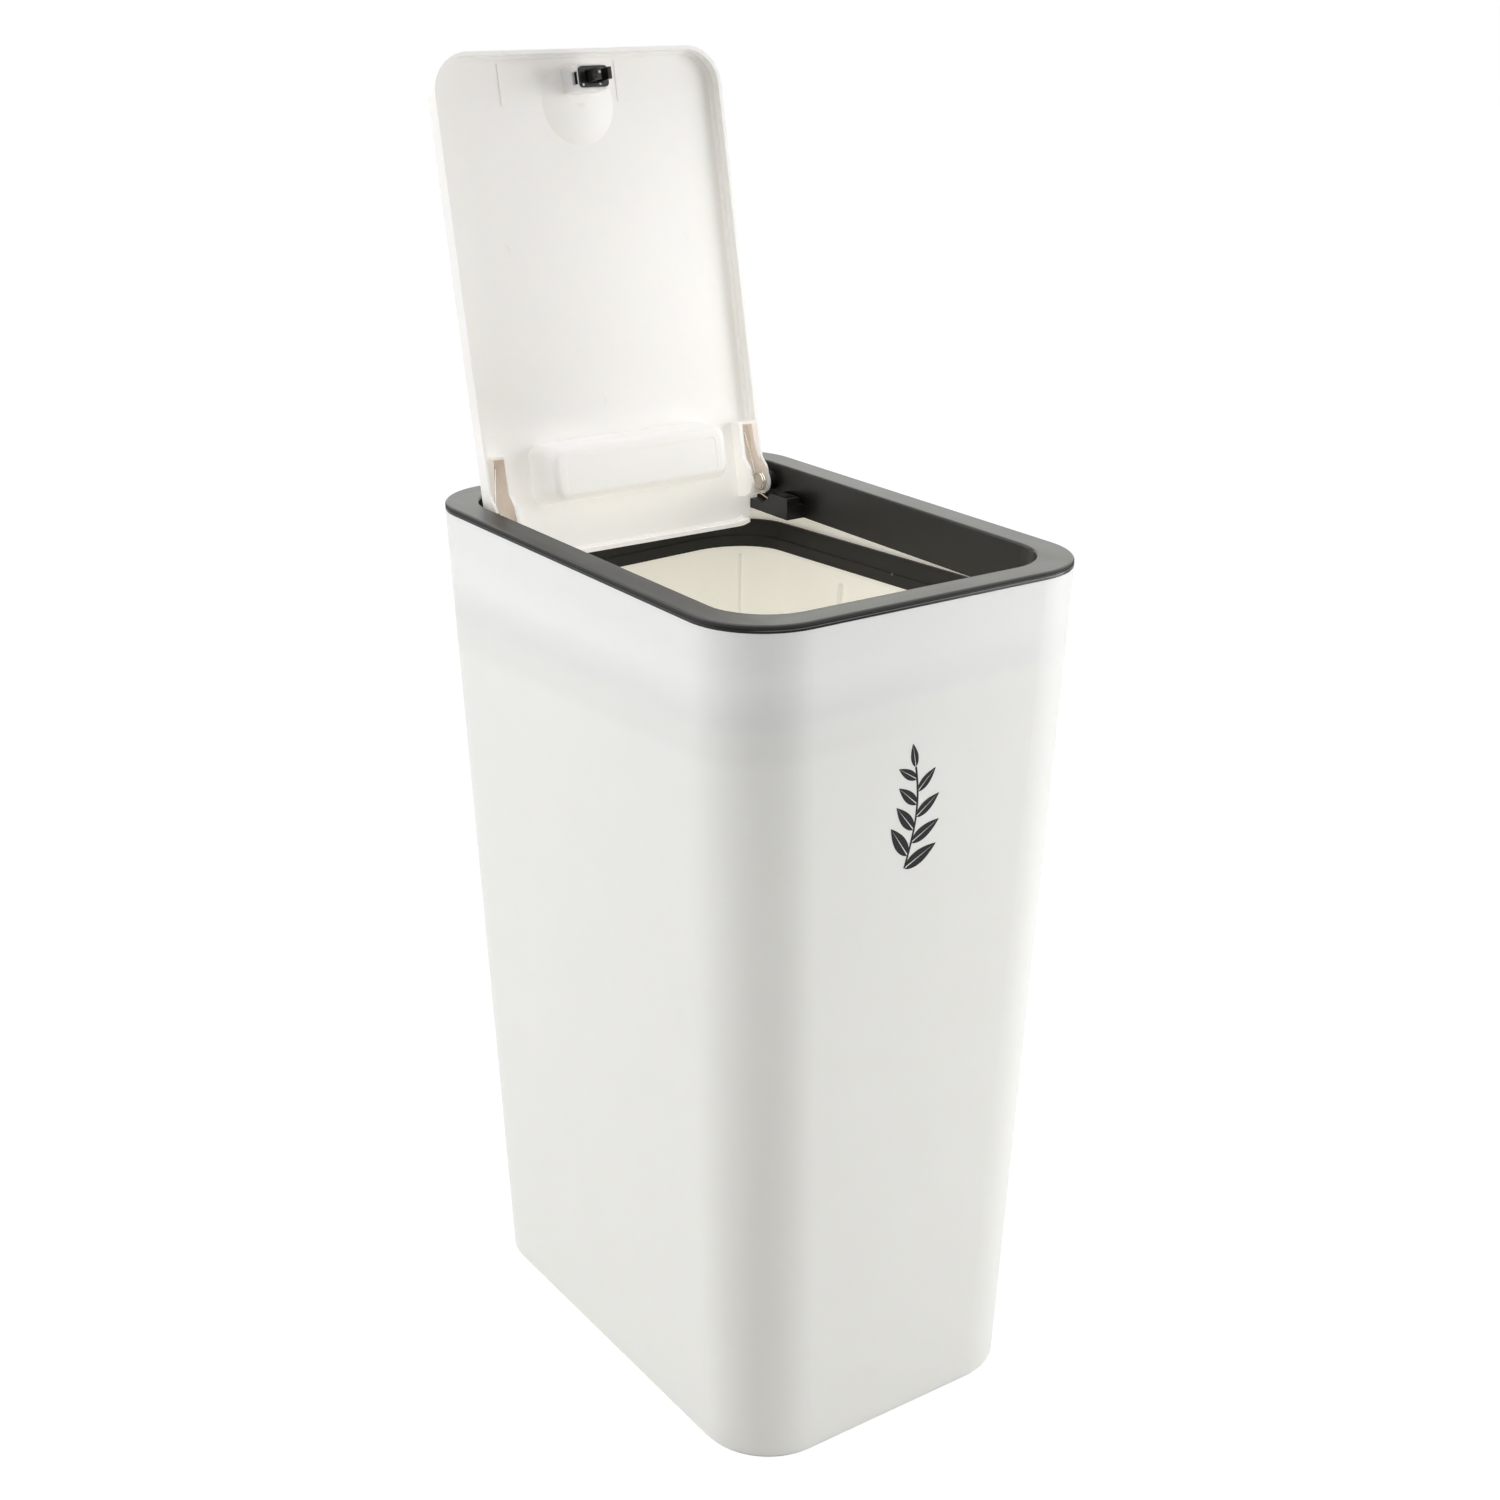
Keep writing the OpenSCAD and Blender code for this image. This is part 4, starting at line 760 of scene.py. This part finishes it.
class BIN_OT_motif(bpy.types.Operator):
    """Prints a leafy sprig on the front wall"""
    bl_idname = "bin.motif"
    bl_label = "Printed sprig"

    # mm that the ink stands proud of the wall and reaches into it
    ink_up, ink_down = 0.03, 0.02
    # a leaf's points along each edge, and its half width and midrib gap per unit of length
    leaf_steps, leaf_width, midrib = 12, 0.17, 0.018
    # the stem's points, its length and bow per unit of the sprig's height, and the bow's phase
    stem_steps, stem_length, bow, phase = 40, 0.86, 0.10, 2.4
    # radians that a leaf turns off the stem, and how much smaller the last leaves are
    spread, taper = 0.85, 0.45

    def leaf(self, length):
        """A pointed leaf along +X, in two halves with a fine gap at the midrib"""
        mesh = bpy.data.meshes.new("leaf")
        work = bmesh.new()
        count, width, gap = self.leaf_steps, self.leaf_width * length, self.midrib * length
        for side in (1, -1):
            outline = []
            for i in range(count + 1):
                t = i / count
                bulge = width * math.sin(math.pi * t ** 0.8) ** 0.9
                outline.append((length * t, side * (gap * (1 - t) + bulge)))
            inner = [(length * (1 - i / count), side * gap * i / count) for i in range(1, count)]
            loop = outline + inner
            if side < 0:
                loop.reverse()
            low = [work.verts.new((x, y, -self.ink_down * MM)) for x, y in loop]
            top = [work.verts.new((x, y, self.ink_up * MM)) for x, y in loop]
            work.faces.new(top)
            work.faces.new(low[::-1])
            for i in range(len(loop)):
                j = (i + 1) % len(loop)
                work.faces.new((low[i], low[j], top[j], top[i]))
        bmesh.ops.recalc_face_normals(work, faces=work.faces)
        work.to_mesh(mesh)
        work.free()
        leaf = bpy.data.objects.new("leaf", mesh)
        bpy.context.scene.collection.objects.link(leaf)
        return leaf

    def ink(self, colour):
        finish = Finish("print_ink", 0.42, specular=0.2)
        speck = finish.noise(0.0006, 2.0)
        finish.colour(clouded(finish, speck, colour, 1.0, 1.8))
        finish.rough(speck * 0.12 + 0.36)
        return finish.material

    def recipe(self, motif, leaf, ink):
        """A flat stem along a chain of edges, with leaves to both sides and one at its tip"""
        recipe = Recipe("sprig", Leaves=motif.leaves, Stem=motif.stem)
        path = recipe.node("GeometryNodeMeshToCurve", {}, {0: recipe.start.outputs[0]}).outputs[0]
        flat = recipe.node("GeometryNodeSetCurveNormal", {"mode": "Z_UP"}, {0: path}).outputs[0]
        bar = recipe.node("GeometryNodeCurvePrimitiveQuadrilateral", {}, {
            "Width": recipe.size("Stem"), "Height": (self.ink_up + self.ink_down) * MM}).outputs[0]
        stem = recipe.node("GeometryNodeCurveToMesh", {}, {
            0: flat, 1: bar, "Fill Caps": True}).outputs[0]
        # the leaves' places, which keep the stem's heading
        vector = {"data_type": "FLOAT_VECTOR"}
        tangent = recipe.node("GeometryNodeInputTangent").outputs[0]
        kept = recipe.node("GeometryNodeStoreNamedAttribute", {**vector, "domain": "POINT"}, {
            0: flat, "Name": "heading", "Value": tangent}).outputs[0]
        spots = recipe.node("GeometryNodeCurveToPoints", {"mode": "COUNT"}, {
            0: kept, "Count": recipe.size("Leaves")}).outputs[0]
        heading = recipe.node("GeometryNodeInputNamedAttribute", vector, {"Name": "heading"}).outputs[0]
        parts = recipe.node("ShaderNodeSeparateXYZ", {}, {0: heading})
        # they turn to one side and the other by turns, and the last one straight on
        index = recipe.node("GeometryNodeInputIndex").outputs[0]
        odd = recipe.math("MODULO", index, 2.0)
        last = recipe.math("COMPARE", index, recipe.math("SUBTRACT", recipe.size("Leaves"), 1.0))
        aside = recipe.math("SUBTRACT", recipe.math("MULTIPLY", odd, 2 * self.spread), self.spread)
        swing = recipe.math("MULTIPLY", recipe.math("SUBTRACT", 1.0, last), aside)
        angle = recipe.math("ADD", recipe.math("ARCTAN2", parts.outputs[1], parts.outputs[0]), swing)
        turn = recipe.node("ShaderNodeCombineXYZ", {}, {2: angle}).outputs[0]
        share = recipe.math("DIVIDE", index, recipe.size("Leaves"))
        scale = recipe.math("SUBTRACT", 1.0, recipe.math("MULTIPLY", share, self.taper))
        model = recipe.node("GeometryNodeObjectInfo", {}, {"Object": leaf}).outputs["Geometry"]
        leaves = recipe.node("GeometryNodeInstanceOnPoints", {}, {
            0: spots, "Instance": model, "Rotation": turn, "Scale": scale}).outputs[0]
        both = recipe.node("GeometryNodeJoinGeometry", {}, {0: stem})
        recipe.tree.links.new(leaves, both.inputs[0])
        recipe.finish(both.outputs[0], ink)
        return recipe

    def execute(self, context):
        motif = context.scene.bin_print
        leaf = self.leaf(motif.leaf)
        h = motif.height / MM
        points = [(h * self.bow * math.sin(self.phase * t) - h * self.bow / 2,
                   h * (t - 0.5) * self.stem_length, 0)
                  for t in (i / self.stem_steps for i in range(self.stem_steps + 1))]
        recipe = self.recipe(motif, leaf, self.ink(context.scene.bin_colours.ink))
        piece = recipe.apply("printed_sprig", path_mesh("sprig", points))
        bpy.data.objects.remove(leaf)
        lean = math.atan2((TUB_RIM_D - TUB_BASE_D) / 2, TUB_H)
        x, z = motif.centre
        y = -(TUB_BASE_D / 2 * MM + math.tan(lean) * z)
        place = Matrix.Translation((x, y, z)) @ Matrix.Rotation(math.pi / 2 + lean, 4, "X")
        piece.data.transform(place)
        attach(piece, "tub")
        return {"FINISHED"}


# ---------- the stage ----------

class BIN_OT_stage(bpy.types.Operator):
    """Sets up the floor, the lamps and the camera"""
    bl_idname = "bin.stage"
    bl_label = "Stage"

    # the floor is near white to the camera, and matt white to all other light
    floor_colour, floor_roughness, floor_shine, floor_share = (0.9, 0.9, 0.9, 1), 0.9, 1.1, 0.86
    # name, place, width, height and share of the key light's power
    lamps = (("lamp_left", (-1.25, 0.75, 0.55), 1.2, 1.4, 1.1),
             ("lamp_front", (0.58, -0.42, 0.37), 0.5, 0.6, 0.275),
             ("lamp_top", (0.1, 0.3, 1.7), 1.4, 1.4, 0.7))
    lamp_target = Vector((0, 0, 0.22))
    # the camera's own axes
    right = Vector((0.82224748, -0.56912484, 0.00244798))
    up = Vector((0.20053634, 0.29374646, 0.93461125))
    sensor = 36.0

    def add_floor(self, scene, size):
        half = size / 2
        mesh = bpy.data.meshes.new("floor")
        mesh.from_pydata([(-half, -half, 0), (half, -half, 0), (half, half, 0), (-half, half, 0)], [],
                         [(0, 1, 2, 3)])
        floor = bpy.data.objects.new("floor", mesh)
        scene.collection.objects.link(floor)
        finish = Finish("floor_white", self.floor_roughness)
        finish.colour(self.floor_colour)
        shine = finish.node("ShaderNodeEmission", {}, {
            "Color": (1, 1, 1, 1), "Strength": self.floor_shine}).outputs[0]
        ray = finish.node("ShaderNodeLightPath")
        share = Num(finish, ray.outputs["Is Camera Ray"]) * self.floor_share
        blend = finish.node("ShaderNodeMixShader", {}, {
            0: share, 1: finish.shader.outputs[0], 2: shine}).outputs[0]
        finish.feed(finish.output.inputs["Surface"], blend)
        mesh.materials.append(finish.material)

    def add_world(self, scene, stage):
        """A white room, brighter to the glossy faces that mirror it and plain white to the camera"""
        world = bpy.data.worlds.new("studio")
        scene.world = world
        world.use_nodes = True
        tree = world.node_tree
        tree.nodes.clear()

        def sky(strength, blue=1.0):
            return add_node(tree, "ShaderNodeBackground", {}, {
                "Color": (1, 1, blue, 1), "Strength": strength}).outputs[0]

        path = add_node(tree, "ShaderNodeLightPath")
        shade = sky(stage.room_light)
        for ray, seen in (("Is Glossy Ray", sky(stage.sheen_light, 0.95)), ("Is Camera Ray", sky(1.0))):
            shade = add_node(tree, "ShaderNodeMixShader", {}, {
                0: path.outputs[ray], 1: shade, 2: seen}).outputs[0]
        add_node(tree, "ShaderNodeOutputWorld", {}, {"Surface": shade})

    def execute(self, context):
        scene, stage = context.scene, context.scene.bin_stage
        scene.view_settings.view_transform = "Standard"
        self.add_floor(scene, stage.floor_size)
        self.add_world(scene, stage)

        for name, spot, width, height, share in self.lamps:
            lamp = bpy.data.lights.new(name, "AREA")
            lamp.shape = "RECTANGLE"
            lamp.size, lamp.size_y, lamp.energy = width, height, stage.key_power * share
            holder = bpy.data.objects.new(name, lamp)
            scene.collection.objects.link(holder)
            aim = self.lamp_target - Vector(spot)
            turn = aim.to_track_quat("-Z", "Y").to_matrix().to_4x4()
            holder.matrix_world = Matrix.Translation(spot) @ turn

        data = bpy.data.cameras.new("camera")
        data.lens = stage.lens
        data.sensor_width = self.sensor
        data.clip_start, data.clip_end = 0.01, 50.0
        camera = bpy.data.objects.new("camera", data)
        scene.collection.objects.link(camera)
        turn = Matrix((self.right, self.up, self.right.cross(self.up))).transposed().to_4x4()
        camera.matrix_world = Matrix.Translation(stage.camera) @ turn
        scene.camera = camera
        return {"FINISHED"}


class BIN_PT_panel(bpy.types.Panel):
    """Lists the bin's pieces in the sidebar"""
    bl_label = "Push top bin"
    bl_space_type = "VIEW_3D"
    bl_region_type = "UI"
    bl_category = "Bin"

    def draw(self, context):
        for step in STEPS:
            self.layout.operator(step.bl_idname)
        for name in SETTINGS:
            group = getattr(context.scene, name)
            for key in group.__annotations__:
                self.layout.prop(group, key)


SETTINGS = {"bin_colours": BinColours, "bin_finish": BinFinish, "bin_springs": BinSprings,
            "bin_print": BinPrint, "bin_stage": BinStage}
STEPS = (BIN_OT_tub, BIN_OT_frame, BIN_OT_ring, BIN_OT_lid, BIN_OT_hinges, BIN_OT_latch, BIN_OT_motif,
         BIN_OT_stage)
CLASSES = tuple(SETTINGS.values()) + STEPS + (BIN_PT_panel,)


def register():
    for item in CLASSES:
        bpy.utils.register_class(item)
    for name, group in SETTINGS.items():
        setattr(bpy.types.Scene, name, bpy.props.PointerProperty(type=group))


def unregister():
    for name in SETTINGS:
        delattr(bpy.types.Scene, name)
    for item in reversed(CLASSES):
        bpy.utils.unregister_class(item)


def main():
    register()
    for step in STEPS:
        group, name = step.bl_idname.split(".")
        getattr(getattr(bpy.ops, group), name)()


if __name__ == "__main__":
    main()
